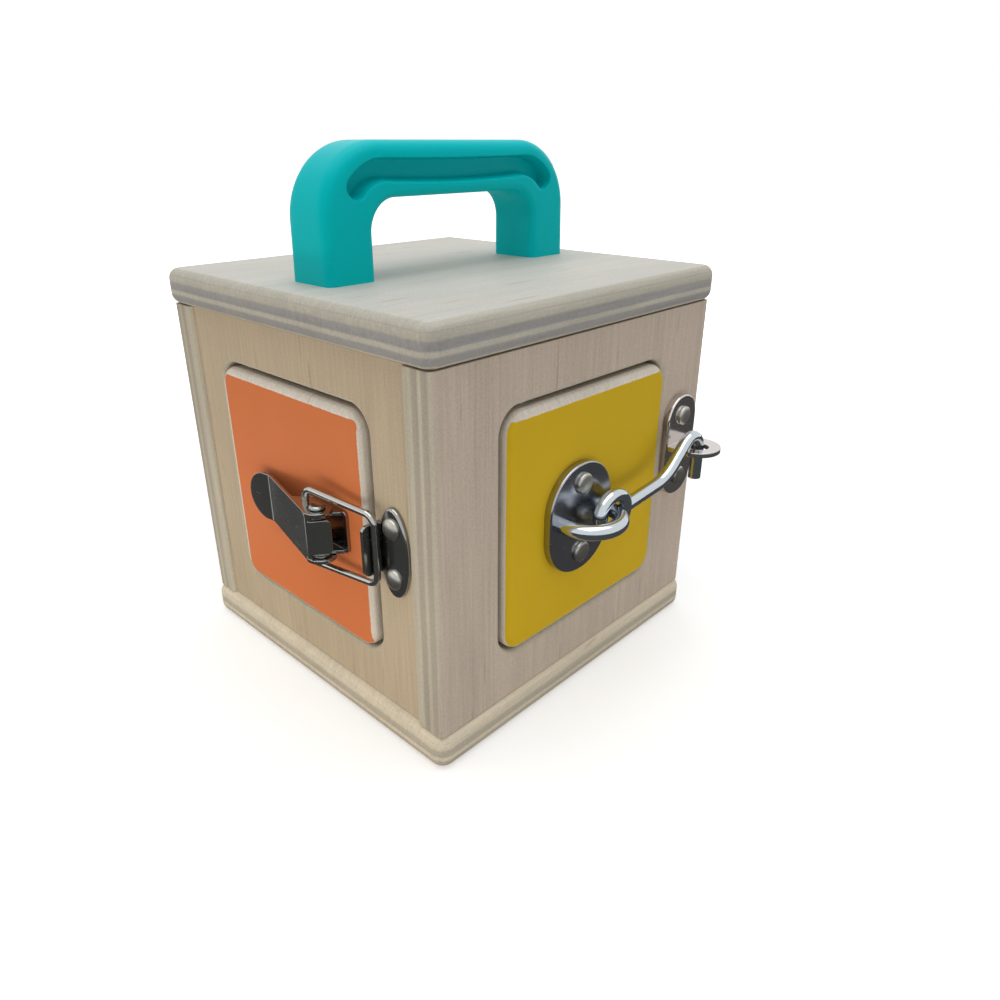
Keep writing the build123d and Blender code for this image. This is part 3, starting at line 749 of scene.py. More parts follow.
def applied(piece: bpy.types.Object) -> bpy.types.Object:
    """Replace an object by a plain mesh of what its modifiers make.

    Args:
        piece: Object with modifiers.

    Returns:
        A new object with the finished mesh.
    """
    name = piece.name
    bpy.context.view_layer.update()
    ready = piece.evaluated_get(bpy.context.evaluated_depsgraph_get())
    mesh = bpy.data.meshes.new_from_object(ready)
    bpy.data.objects.remove(piece)
    return into_scene(name, mesh)


def settle(piece: bpy.types.Object, body: str, slot: str, *nodes: str) -> bpy.types.Object:
    """Tie a finished piece to its body and hide the solids that it stands for.

    Args:
        piece: The piece.
        body: Body that it rides on.
        slot: Material slot that its finish comes from; not used.
        nodes: Solids that it replaces.

    Returns:
        The piece.
    """
    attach(piece, body)
    if nodes:
        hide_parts(*nodes)
    LOG.info("%s: %d faces", piece.name, len(piece.data.polygons))
    return piece


class EvenShading:
    """Corner normals that keep the flats of a solid even and its fillets round.

    Attributes:
        LEVEL: Angle in radians below which two faces count as level.
        LARGER: How many times larger than its neighbours a flat is.
    """

    LEVEL = 0.005
    LARGER = 3.0

    def __init__(self, shape: bmesh.types.BMesh, angle: float) -> None:
        """Sort the faces of a solid into level regions.

        Args:
            shape: The solid.
            angle: Edges that turn further than this, in radians, stay sharp.
        """
        self.shape = shape
        self.angle = angle
        shape.faces.index_update()
        shape.faces.ensure_lookup_table()
        self.region = [-1] * len(shape.faces)
        self.areas: list[float] = []
        self.facing: list[Vector] = []
        for face in shape.faces:
            if self.region[face.index] < 0:
                self.flood(face)
        self.flat = self.find_flats()

    def flood(self, start: bmesh.types.BMFace) -> None:
        """Number the faces that lie level with one face, and keep their area and their facing.

        Args:
            start: Face that the region starts from.
        """
        number = len(self.areas)
        self.region[start.index] = number
        stack, area, normal = [start], 0.0, Vector()
        while stack:
            face = stack.pop()
            size = face.calc_area()
            area += size
            normal += face.normal * size
            for edge in face.edges:
                if edge.calc_face_angle(1.0) < self.LEVEL:
                    for other in edge.link_faces:
                        if self.region[other.index] < 0:
                            self.region[other.index] = number
                            stack.append(other)
        self.areas.append(area)
        self.facing.append(normal.normalized())

    def find_flats(self) -> list[bool]:
        """Tell which regions are flats, by their size beside the regions that they run into.

        Returns:
            One answer for each region.
        """
        largest = [0.0] * len(self.areas)
        for edge in self.shape.edges:
            if len(edge.link_faces) == 2 and edge.calc_face_angle(1.0) < self.angle:
                one, two = (self.region[face.index] for face in edge.link_faces)
                if one != two:
                    largest[one] = max(largest[one], self.areas[two])
                    largest[two] = max(largest[two], self.areas[one])
        return [area > self.LARGER * beside for area, beside in zip(self.areas, largest)]

    def fan(self, start: bmesh.types.BMFace, corner: bmesh.types.BMVert) -> list[bmesh.types.BMFace]:
        """Find the faces about a corner that one face runs into without a sharp edge.

        Args:
            start: The face.
            corner: The corner.

        Returns:
            The faces, the first one among them.
        """
        seen, stack = {start}, [start]
        while stack:
            face = stack.pop()
            for edge in face.edges:
                if corner in edge.verts and edge.calc_face_angle(4.0) < self.angle:
                    for other in edge.link_faces:
                        if other not in seen:
                            seen.add(other)
                            stack.append(other)
        return list(seen)

    def normals(self) -> list[Vector]:
        """Normal of each corner of each face.

        Returns:
            The normals in the order of the corners.
        """
        found: dict[tuple[int, int], Vector] = {}
        self.shape.verts.index_update()
        for face in self.shape.faces:
            for corner in face.verts:
                if (face.index, corner.index) in found:
                    continue
                members = self.fan(face, corner)
                levels = {self.region[member.index] for member in members if self.flat[self.region[member.index]]}
                normal = Vector()
                for level in levels:
                    normal += self.facing[level]
                for member in () if levels else members:
                    normal += member.normal * self.spread(member, corner)
                normal = normal.normalized() if normal.length > 1e-9 else face.normal.copy()
                for member in members:
                    level = self.region[member.index]
                    found[member.index, corner.index] = self.facing[level] if self.flat[level] else normal
        return [found[face.index, loop.vert.index] for face in self.shape.faces for loop in face.loops]

    @staticmethod
    def spread(face: bmesh.types.BMFace, corner: bmesh.types.BMVert) -> float:
        """Angle that a face takes up at one of its corners."""
        return next(loop.calc_angle() for loop in face.loops if loop.vert is corner)


@dataclass
class Wardrobe:
    """Finishes of the box, each made once, with the body and slot of each solid."""

    made: dict[str, bpy.types.Material] = field(default_factory=dict)

    def get(self, finish: Union[PlywoodFinish, MetalFinish, PlasticFinish]) -> bpy.types.Material:
        """Find the material of a finish, built on its first use.

        Args:
            finish: The finish.

        Returns:
            Its material.
        """
        if finish.name not in self.made:
            self.made[finish.name] = finish.material()
        return self.made[finish.name]

    @staticmethod
    def body_of(node: str) -> str:
        """Body that holds a solid."""
        bodies = frame["record"]["behaviour"]["bodies"]
        return next(body for body, members in bodies.items() if node in members)

    @staticmethod
    def slot_of(node: str) -> str:
        """Material slot of a solid."""
        return next(part["material_slot"] for part in frame["record"]["subparts"] if part["node"] == node)

    def dress(
        self,
        node: str,
        finish: Union[PlywoodFinish, MetalFinish, PlasticFinish],
        angle: float = 32.0,
    ) -> bpy.types.Object:
        """Stand a smoothly shaded copy of a solid in for it.

        Args:
            node: The solid's name.
            finish: Finish of the copy.
            angle: Edges sharper than this, in degrees, stay sharp.

        Returns:
            The copy.
        """
        mesh = frame["nodes"][node].data.copy()
        shape = bmesh.new()
        shape.from_mesh(mesh)
        bmesh.ops.remove_doubles(shape, verts=shape.verts, dist=MERGE_DISTANCE)
        normals = EvenShading(shape, math.radians(angle)).normals()
        shape.to_mesh(mesh)
        shape.free()
        mesh.materials.clear()
        mesh.materials.append(self.get(finish))
        mesh.shade_smooth()
        mesh.normals_split_custom_set(normals)
        piece = into_scene(f"{node}_finished", mesh)
        return settle(piece, self.body_of(node), self.slot_of(node), node)


class Trees:
    """Geometry Nodes trees that make rivet heads and bent wire."""

    _made: dict[str, bpy.types.NodeTree] = {}

    @classmethod
    def _start(
        cls, name: str, inputs: Iterable[tuple[str, str, object]]
    ) -> tuple[Graph, dict[str, Socket], bpy.types.Node]:
        """Open a new geometry tree.

        Args:
            name: The tree's name.
            inputs: Name, socket kind and first value of each size.

        Returns:
            The graph, its inputs by name and its output node.
        """
        tree = bpy.data.node_groups.new(name, "GeometryNodeTree")
        tree.interface.new_socket(name="Geometry", in_out="INPUT", socket_type="NodeSocketGeometry")
        for label, kind, value in inputs:
            socket = tree.interface.new_socket(name=label, in_out="INPUT", socket_type=kind)
            if value is not None:
                socket.default_value = value
        tree.interface.new_socket(name="Geometry", in_out="OUTPUT", socket_type="NodeSocketGeometry")
        graph = Graph(tree)
        entry = graph.add("NodeGroupInput")
        leave = graph.add("NodeGroupOutput")
        cls._made[name] = tree
        return graph, {socket.name: socket for socket in entry.outputs}, leave

    @classmethod
    def rivets(cls) -> bpy.types.NodeTree:
        """Dome heads on the points of a mesh, all facing one way.

        Returns:
            The tree.
        """
        if "Rivet heads" in cls._made:
            return cls._made["Rivet heads"]
        g, given, leave = cls._start(
            "Rivet heads",
            (
                ("Radius", "NodeSocketFloat", 0.003),
                ("Rise", "NodeSocketFloat", 0.001),
                ("Crown", "NodeSocketFloat", 0.7),
                ("Outward", "NodeSocketVector", (0.0, 0.0, 1.0)),
                ("Finish", "NodeSocketMaterial", None),
            ),
        )
        ball = g.add("GeometryNodeMeshUVSphere")
        for name, value in (("Segments", 48), ("Rings", 40), ("Radius", 1.0)):
            ball.inputs[name].default_value = value
        place = g.add("GeometryNodeInputPosition")
        apart = g.add("ShaderNodeSeparateXYZ")
        g.feed(apart.inputs[0], place.outputs[0])
        height = g.math("POWER", g.math("MAXIMUM", apart.outputs[2], 0.0), given["Crown"])
        sunk = g.math("MULTIPLY", g.math("MINIMUM", apart.outputs[2], 0.0), 0.05)
        moved = g.vector(
            g.math("MULTIPLY", apart.outputs[0], given["Radius"]),
            g.math("MULTIPLY", apart.outputs[1], given["Radius"]),
            g.math("MULTIPLY", g.math("ADD", height, sunk), given["Rise"]),
        )
        dome = g.add("GeometryNodeSetPosition")
        g.feed(dome.inputs["Geometry"], ball.outputs["Mesh"])
        g.feed(dome.inputs["Position"], moved)
        smooth = g.add("GeometryNodeSetShadeSmooth")
        g.feed(smooth.inputs["Geometry"], dome.outputs[0])
        turn = g.add("FunctionNodeAlignRotationToVector", axis="Z")
        g.feed(turn.inputs["Vector"], given["Outward"])
        spread = g.add("GeometryNodeInstanceOnPoints")
        g.feed(spread.inputs["Points"], given["Geometry"])
        g.feed(spread.inputs["Instance"], smooth.outputs[0])
        g.feed(spread.inputs["Rotation"], turn.outputs[0])
        solid = g.add("GeometryNodeRealizeInstances")
        g.feed(solid.inputs[0], spread.outputs[0])
        finish = g.add("GeometryNodeSetMaterial")
        g.feed(finish.inputs["Geometry"], solid.outputs[0])
        g.feed(finish.inputs["Material"], given["Finish"])
        g.feed(leave.inputs[0], finish.outputs[0])
        return g.tree

    @classmethod
    def wire(cls) -> bpy.types.NodeTree:
        """Round wire along the curve that the tree is given.

        Returns:
            The tree.
        """
        if "Bent wire" in cls._made:
            return cls._made["Bent wire"]
        g, given, leave = cls._start(
            "Bent wire",
            (
                ("Radius", "NodeSocketFloat", 0.001),
                ("Sides", "NodeSocketInt", 28),
                ("Finish", "NodeSocketMaterial", None),
            ),
        )
        ring = g.add("GeometryNodeCurvePrimitiveCircle")
        g.feed(ring.inputs["Resolution"], given["Sides"])
        g.feed(ring.inputs["Radius"], given["Radius"])
        tube = g.add("GeometryNodeCurveToMesh")
        g.feed(tube.inputs["Curve"], given["Geometry"])
        g.feed(tube.inputs["Profile Curve"], ring.outputs["Curve"])
        tube.inputs["Fill Caps"].default_value = True
        smooth = g.add("GeometryNodeSetShadeSmooth")
        g.feed(smooth.inputs["Geometry"], tube.outputs[0])
        solid = g.add("GeometryNodeRealizeInstances")
        g.feed(solid.inputs[0], smooth.outputs[0])
        finish = g.add("GeometryNodeSetMaterial")
        g.feed(finish.inputs["Geometry"], solid.outputs[0])
        g.feed(finish.inputs["Material"], given["Finish"])
        g.feed(leave.inputs[0], finish.outputs[0])
        return g.tree

    @staticmethod
    def run(piece: bpy.types.Object, tree: bpy.types.NodeTree, **values: object) -> bpy.types.Object:
        """Run a tree on an object and keep the plain mesh that comes out.

        Args:
            piece: Object that holds the tree's input.
            tree: The tree.
            values: The tree's inputs by name.

        Returns:
            The finished object.
        """
        modifier = piece.modifiers.new(tree.name, "NODES")
        modifier.node_group = tree
        names = {item.name: item.identifier for item in tree.interface.items_tree if item.in_out == "INPUT"}
        for name, value in values.items():
            modifier[names[name]] = value
        return applied(piece)


class WallPlace:
    """Turns places on one wall, to the right, up and outward in millimetres, into the shared frame."""

    def __init__(self, side: Side) -> None:
        """Find the directions of a wall.

        Args:
            side: The wall.
        """
        self.side = side
        facing = {Side.FRONT: (1, 0), Side.RIGHT: (0, 1), Side.BACK: (-1, 0), Side.LEFT: (0, -1)}[side]
        self.right = Vector((*facing, 0.0))
        self.out = Vector((0.0, 0.0, 0.0))
        self.out[side.outward.value] = side.sign

    def at(self, along: float, up: float, out: float) -> Vector:
        """Place in metres in the shared frame."""
        foot = self.out * (SIZES.face_of(self.side) + out * MM) + self.right * (along * MM)
        return foot + Vector((0.0, 0.0, SIZES.middle + up * MM))


def arc(centre: tuple[float, float], radius: float, start: float, end: float, steps: int) -> list[tuple[float, float]]:
    """Points of an arc in a plane.

    Args:
        centre: Middle of the arc.
        radius: Its radius.
        start: First angle in degrees.
        end: Last angle in degrees.
        steps: Number of parts.

    Returns:
        The points, both ends included.
    """
    angles = [math.radians(start + (end - start) * i / steps) for i in range(steps + 1)]
    return [(centre[0] + radius * math.cos(a), centre[1] + radius * math.sin(a)) for a in angles]


def rounded_path(corners: Sequence[Vector], radii: Sequence[float], steps: int = 10) -> list[Vector]:
    """Straight runs joined by tangent arcs.

    Args:
        corners: Corner points, ends included.
        radii: Radius of each bend in order.
        steps: Parts of each bend.

    Returns:
        Points of the path.
    """
    path = [corners[0].copy()]
    for before, here, after, radius in zip(corners, corners[1:], corners[2:], radii):
        back, on = (before - here).normalized(), (after - here).normalized()
        half = back.angle(on) / 2
        reach = radius / math.tan(half)
        middle = here + (back + on).normalized() * (radius / math.sin(half))
        first, last = here + back * reach - middle, here + on * reach - middle
        turn = first.rotation_difference(last)
        for i in range(steps + 1):
            part = turn.copy()
            part.w, (part.x, part.y, part.z) = 1.0, (0.0, 0.0, 0.0)
            path.append(middle + part.slerp(turn, i / steps) @ first)
    path.append(corners[-1].copy())
    return path


def wire_curve(name: str, path: Sequence[Vector], closed: bool = False, round_end: float = 0.0) -> bpy.types.Object:
    """Curve object through points, with an end that may be rounded off.

    Args:
        name: The object's name.
        path: Points in the shared frame.
        closed: Whether the curve closes on itself.
        round_end: Radius over which the last end narrows, or 0.

    Returns:
        The curve object.
    """
    points = [point.copy() for point in path]
    widths = [1.0] * len(points)
    if round_end:
        heading = (points[-1] - points[-2]).normalized()
        end = points[-1]
        points[-1] = end - heading * round_end
        for share in (0.35, 0.6, 0.8, 0.93, 0.99):
            points.append(end - heading * round_end * (1 - share))
            widths.append(math.sqrt(1 - share * share))
    curve = bpy.data.curves.new(name, "CURVE")
    curve.dimensions = "3D"
    line = curve.splines.new("POLY")
    line.points.add(len(points) - 1)
    for spot, point, width in zip(line.points, points, widths):
        spot.co = (*point, 1.0)
        spot.radius = width
    line.use_cyclic_u = closed
    piece = bpy.data.objects.new(name, curve)
    bpy.context.scene.collection.objects.link(piece)
    return piece


@dataclass
class Fasteners:
    """Rivet heads of one plate.

    Attributes:
        node: Solid that the heads stand for.
        side: Wall that they are on.
        points: Places to the right and up, in millimetres.
        seat: Level of their seat above the wall, in millimetres.
        radius: Head radius in millimetres.
        rise: Head height in millimetres.
        finish: Their finish.
        crown: Power of their profile, lower for a flatter top.
    """

    node: str
    side: Side
    points: list[tuple[float, float]]
    seat: float
    radius: float
    rise: float
    finish: MetalFinish
    crown: float = 0.75

    def build(self, wardrobe: Wardrobe) -> None:
        """Make the heads and tie them to their body.

        Args:
            wardrobe: The finishes, with the body and slot of each solid.
        """
        wall = WallPlace(self.side)
        mesh = bpy.data.meshes.new(f"{self.node} places")
        mesh.from_pydata([wall.at(along, up, self.seat) for along, up in self.points], [], [])
        piece = into_scene(f"{self.node}_heads", mesh)
        piece = Trees.run(
            piece,
            Trees.rivets(),
            Radius=self.radius * MM,
            Rise=self.rise * MM,
            Crown=self.crown,
            Outward=wall.out,
            Finish=wardrobe.get(self.finish),
        )
        settle(piece, wardrobe.body_of(self.node), wardrobe.slot_of(self.node), self.node)


BLACK_NICKEL = MetalFinish("Black nickel plate", srgb(166, 167, 164), 0.17, 0.08)
NICKEL_WIRE = MetalFinish("Black nickel wire", srgb(182, 182, 178), 0.13, 0.08)
RIVET_STEEL = MetalFinish("Dull rivet heads", srgb(186, 184, 176), 0.36, 0.1)
GUNMETAL = MetalFinish("Gunmetal plate", srgb(172, 173, 180), 0.2, 0.08)
KEEPER_STEEL = MetalFinish("Polished keeper plate", srgb(212, 206, 202), 0.14, 0.08)
BRIGHT_STEEL = MetalFinish("Bright plated steel", srgb(198, 206, 212), 0.13, 0.08)
PIN_STEEL = MetalFinish("Plain steel", srgb(170, 170, 172), 0.35, 0.2)
TEAL = PlasticFinish("Teal moulded plastic", srgb(0, 201, 205), 0.34)

WARM_VENEER = srgb(194, 176, 149)
COOL_VENEER = srgb(197, 181, 165)
BARE_RIM = srgb(228, 218, 204)
RIM_PLY = srgb(206, 195, 181)
BUTTON_WOOD = srgb(176, 132, 84)


@dataclass
class Carcass:
    """Boards, walls, dowels and door stops of the box."""

    wardrobe: Wardrobe

    def build(self) -> None:
        """Dress every wooden piece of the fixed box."""
        thickness = SIZES.board_thickness
        top = SIZES.body_height
        # The boards are the same plywood as the walls. Their paler, cooler veneer is a painted sheen of the sky's light
        # on the top. The bottom board's layers are painted much lighter than the top board's, for the brighter light
        # near the floor.
        boards = {
            "bottom_board": (thickness, 0.0, srgb(224, 211, 186), srgb(188, 178, 160)),
            "top_board": (top, top - thickness, srgb(195, 188, 171), srgb(155, 151, 149)),
        }
        for node, (inner, outer, light, dark) in boards.items():
            finish = PlywoodFinish(
                f"Plywood of the {node.replace('_', ' ')}",
                Axis.Z,
                inner,
                outer,
                Axis.Y,
                mirrored=False,
                veneer=srgb(203, 197, 187),
                light_ply=light,
                dark_ply=dark,
                shine=0.5,
            )
            self.wardrobe.dress(node, finish)
        for side in Side:
            outer = SIZES.face_of(side)
            finish = PlywoodFinish(
                f"Plywood of the {side.word} wall",
                side.outward,
                outer - SIZES.wall_thickness,
                outer,
                Axis.Z,
                veneer=WARM_VENEER if side.outward is Axis.Y else COOL_VENEER,
                streak=0.5,
            )
            self.wardrobe.dress(f"{side.word}_panel", finish)
            self.wardrobe.dress(f"{side.word}_door_stop", finish)
        dowel = PlywoodFinish("Dowel wood", Axis.X, 1.0, 2.0, Axis.Z, streak=0.3)
        for node in ("top_dowels", "bottom_dowels"):
            self.wardrobe.dress(node, dowel)


@dataclass
class Doors:
    """Four painted doors and their pins."""

    wardrobe: Wardrobe

    def finish(self, side: Side) -> PaintedDoorFinish:
        """Mix the finish of one wall's door.

        Args:
            side: The wall.

        Returns:
            The finish.
        """
        paints = {
            Side.FRONT: (srgb(221, 125, 74), -0.95, 75.4, (39.75, 41.6)),
            Side.RIGHT: (srgb(213, 176, 30), -0.05, 75.3, (43.55, 41.6)),
            Side.BACK: (srgb(70, 120, 196), -1.5, 75.5, (39.2, 41.6)),
            Side.LEFT: (srgb(110, 168, 84), 0.0, 75.9, (40.0, 41.8)),
        }
        colour, along, up, half = paints[side]
        outer = SIZES.face_of(side) + SIZES.door_proud
        return PaintedDoorFinish(
            f"Painted {side.word} door",
            side.outward,
            outer - SIZES.door_thickness,
            outer,
            Axis.Z,
            veneer=BARE_RIM,
            light_ply=BARE_RIM,
            dark_ply=RIM_PLY,
            paint=colour,
            side=side,
            patch_along=along * MM,
            patch_up=up * MM,
            patch_half=(half[0] * MM, half[1] * MM),
        )

    def build(self) -> None:
        """Dress the doors and their pins."""
        for side in Side:
            self.wardrobe.dress(f"{side.word}_door", self.finish(side))
            self.wardrobe.dress(f"{side.word}_door_pins", PIN_STEEL)


@dataclass
class CarryHandle:
    """Moulded handle with a finger groove in both faces, and its screws; sizes in millimetres.

    Attributes:
        wardrobe: The finishes.
        half_length: Half of the outer length.
        height: Height above the top board.
        half_width: Half of the width.
        corner: Outer radius of the shoulders.
        grip_half: Half of the length of the grip's opening.
        grip_height: Height of that opening.
        grip_corner: Radius of its corners.
        leg_edge: Radius of the outer edges at the feet.
        outer_edge: Radius of the outer edges at the crown.
        inner_edge: Radius of the inner edges.
        groove_inset: Distance of the groove from the outer line.
        groove_width: Width of the groove.
        groove_depth: Depth of the groove.
        groove_end: Angle up the shoulder, in degrees, at which the groove starts.
        groove_turn: Angle over which its round end opens.
        upper_wall: Width of the groove's upper wall.
        lower_wall: Width of its lower wall.
    """

    wardrobe: Wardrobe
    half_length: float = 59.5
    height: float = 43.8
    half_width: float = 11.0
    corner: float = 24.0
    grip_half: float = 40.0
    grip_height: float = 26.1
    grip_corner: float = 11.0
    leg_edge: float = 2.8
    outer_edge: float = 5.0
    inner_edge: float = 2.6
    groove_inset: float = 5.5
    groove_width: float = 8.4
    groove_depth: float = 6.5
    groove_end: float = 30.0
    groove_turn: float = 11.0
    upper_wall: float = 0.9
    lower_wall: float = 2.0

    def rows(self) -> list[tuple[Vector, Vector, float]]:
        """Lay out the rows of the near half, from foot to crown.

        Returns:
            Outer point, inner point and groove share of each row.
        """
        rows: list[tuple[Vector, Vector, float]] = []
        for i in range(8):
            share = i / 8
            outer = Vector((0.0, -self.half_length, (self.height - self.corner) * share))
            inner = Vector((0.0, -self.grip_half, (self.grip_height - self.grip_corner) * share))
            rows.append((outer, inner, 0.0))
        turns = [(self.groove_end * i / 6, 0.0) for i in range(6)]
        for i in range(13):
            angle = math.pi / 2 * i / 12
            turns.append((self.groove_end + self.groove_turn * (1 - math.cos(angle)), math.sin(angle)))
        start = self.groove_end + self.groove_turn
        turns += [(start + (90 - start) * i / 14, 1.0) for i in range(1, 15)]
        for turn, share in turns:
            way = Vector((0.0, -math.cos(math.radians(turn)), math.sin(math.radians(turn))))
            outer = Vector((0.0, self.corner - self.half_length, self.height - self.corner)) + way * self.corner
            inner = Vector((0.0, self.grip_corner - self.grip_half, self.grip_height - self.grip_corner))
            rows.append((outer, inner + way * self.grip_corner, share))
        for i in range(1, 13):
            share = 1 - i / 12
            outer = Vector((0.0, (self.corner - self.half_length) * share, self.height))
            inner = Vector((0.0, (self.grip_corner - self.grip_half) * share, self.grip_height))
            rows.append((outer, inner, 1.0))
        return rows

    def face(self, thickness: float, share: float, edge: float) -> list[tuple[float, float]]:
        """Places across one face, from the outer rounding to the inner one, each with its depth.

        Args:
            thickness: Distance between the outer and the inner line.
            share: Width of the groove there, from 0, none, to 1, full.
            edge: Radius of the outer edge there.

        Returns:
            Distance from the outer line and depth below the face.
        """
        middle = self.groove_inset + self.groove_width / 2
        half = max(0.5, share * self.groove_width / 2)
        deep = self.groove_depth * min(1.0, share * 1.6)
        upper, lower = min(self.upper_wall, half * 0.6), min(self.lower_wall, half * 0.9)
        first, last = middle - half, middle + half
        places = [(edge + (first - edge) * i / 4, 0.0) for i in range(1, 4)]
        for i in range(9):
            q = i / 8
            places.append((first + upper * q, deep * q * q * (3 - 2 * q)))
        floor_start, floor_end = first + upper, last - lower
        places += [(floor_start + (floor_end - floor_start) * i / 5, deep) for i in range(1, 5)]
        for i in range(11):
            q = 1 - i / 10
            places.append((floor_end + lower * (1 - q), deep * q * q * (3 - 2 * q)))
        places += [(last + (thickness - self.inner_edge - last) * i / 4, 0.0) for i in range(1, 4)]
        return places

    def ring(self, outer: Vector, inner: Vector, share: float) -> list[Vector]:
        """Draw the section of the handle at one row.

        Args:
            outer: Point on the outer line.
            inner: Point on the inner line.
            share: Width of the groove there, from 0, none, to 1, full.

        Returns:
            Points around the handle, in millimetres above the top board.
        """
        inward = (inner - outer).normalized()
        thickness = (inner - outer).length
        wide = self.leg_edge + (self.outer_edge - self.leg_edge) * outer.z / self.height
        tight = self.inner_edge
        crown, sole = self.half_width - wide, self.half_width - tight
        end = thickness - tight
        section = [(crown * (i / 4 - 1), 0.0) for i in range(1, 8)]
        section += [(crown + wide * math.sin(a), wide * (1 - math.cos(a))) for a in self.quarter()]
        section += [(self.half_width - deep, place) for place, deep in self.face(thickness, share, wide)]
        section += [(sole + tight * math.cos(a), end + tight * math.sin(a)) for a in self.quarter()]
        section += [(sole * (1 - i / 4), thickness) for i in range(1, 8)]
        section += [(-sole - tight * math.sin(a), end + tight * math.cos(a)) for a in self.quarter()]
        section += [(deep - self.half_width, place) for place, deep in reversed(self.face(thickness, share, wide))]
        section += [(-crown - wide * math.cos(a), wide * (1 - math.sin(a))) for a in self.quarter()]
        return [outer + inward * across + Vector((sideways, 0.0, 0.0)) for sideways, across in section]

    @staticmethod
    def quarter() -> list[float]:
        """Angles of a rounded edge."""
        return [math.pi / 2 * i / 8 for i in range(9)]

    def mesh(self) -> bpy.types.Mesh:
        """Skin the rings from one foot to the other and close both feet.

        Returns:
            The handle's mesh.
        """
        half = [self.ring(outer, inner, share) for outer, inner, share in self.rows()]
        flip = Vector((1.0, -1.0, 1.0))
        rings = half + [[point * flip for point in ring] for ring in reversed(half[:-1])]
        shape = bmesh.new()
        lift = Vector((0.0, 0.0, SIZES.body_height))
        skin = [[shape.verts.new(point * MM + lift) for point in ring] for ring in rings]
        count = len(skin[0])
        for low, high in zip(skin, skin[1:]):
            for i in range(count):
                shape.faces.new((low[i], low[(i + 1) % count], high[(i + 1) % count], high[i]))
        shape.faces.new(skin[0])
        shape.faces.new(list(reversed(skin[-1])))
        bmesh.ops.recalc_face_normals(shape, faces=shape.faces)
        mesh = bpy.data.meshes.new("Handle")
        shape.to_mesh(mesh)
        shape.free()
        mesh.shade_smooth()
        mesh.set_sharp_from_angle(angle=math.radians(60))
        mesh.materials.append(self.wardrobe.get(TEAL))
        return mesh

    def build(self) -> None:
        """Mould the handle and dress its screws."""
        handle = into_scene("carry_handle_moulded", self.mesh())
        settle(handle, self.wardrobe.body_of("carry_handle"), self.wardrobe.slot_of("carry_handle"), "carry_handle")
        self.wardrobe.dress("handle_screws", PIN_STEEL)


@dataclass
class DrawLatch:
    """Lever latch on the front door and its catch on the wall, in millimetres on that wall.

    Attributes:
        wardrobe: The finishes.
        wire: Diameter of the bail's wire.
        pivot: Place of the bail's pivot to the right and outward.
        bar: Place of the bail's bar to the right and outward.
        half_spans: Half of the bail's height at the pivot and at the bar.
        end_half_span: Half of the distance between the wire's ends.
        bend: Radius of the wire's bends.
    """

    wardrobe: Wardrobe
    wire: float = 2.4
    pivot: tuple[float, float] = (15.8, 7.8)
    bar: tuple[float, float] = (47.8, 4.0)
    half_spans: tuple[float, float] = (13.9, 12.4)
    end_half_span: float = 8.0
    bend: float = 3.6

    def bail(self) -> None:
        """Bend the bail's wire."""
        wall = WallPlace(Side.FRONT)
        (pivot_along, pivot_out), (bar_along, bar_out) = self.pivot, self.bar
        wide, narrow = self.half_spans
        corners = [
            wall.at(pivot_along, self.end_half_span, pivot_out),
            wall.at(pivot_along, wide, pivot_out),
            wall.at(bar_along, narrow, bar_out),
            wall.at(bar_along, -narrow, bar_out),
            wall.at(pivot_along, -wide, pivot_out),
            wall.at(pivot_along, -self.end_half_span, pivot_out),
        ]
        curve = wire_curve("latch_bail_wire", rounded_path(corners, [self.bend * MM] * 4))
        piece = Trees.run(
            curve, Trees.wire(), Radius=self.wire / 2 * MM, Sides=28, Finish=self.wardrobe.get(NICKEL_WIRE)
        )
        settle(piece, "latch_bail", self.wardrobe.slot_of("latch_bail"), "latch_bail")

    def build(self) -> None:
        """Dress the latch."""
        for node in ("latch_base", "latch_rivets", "lever_pin", "latch_lever", "catch_plate"):
            self.wardrobe.dress(node, BLACK_NICKEL)
        self.bail()
        places = [(53.4, 9.0), (53.4, -9.0)]
        Fasteners(
            "catch_rivets", Side.FRONT, places, seat=1.7, radius=3.7, rise=1.9, finish=RIVET_STEEL, crown=1.0
        ).build(self.wardrobe)


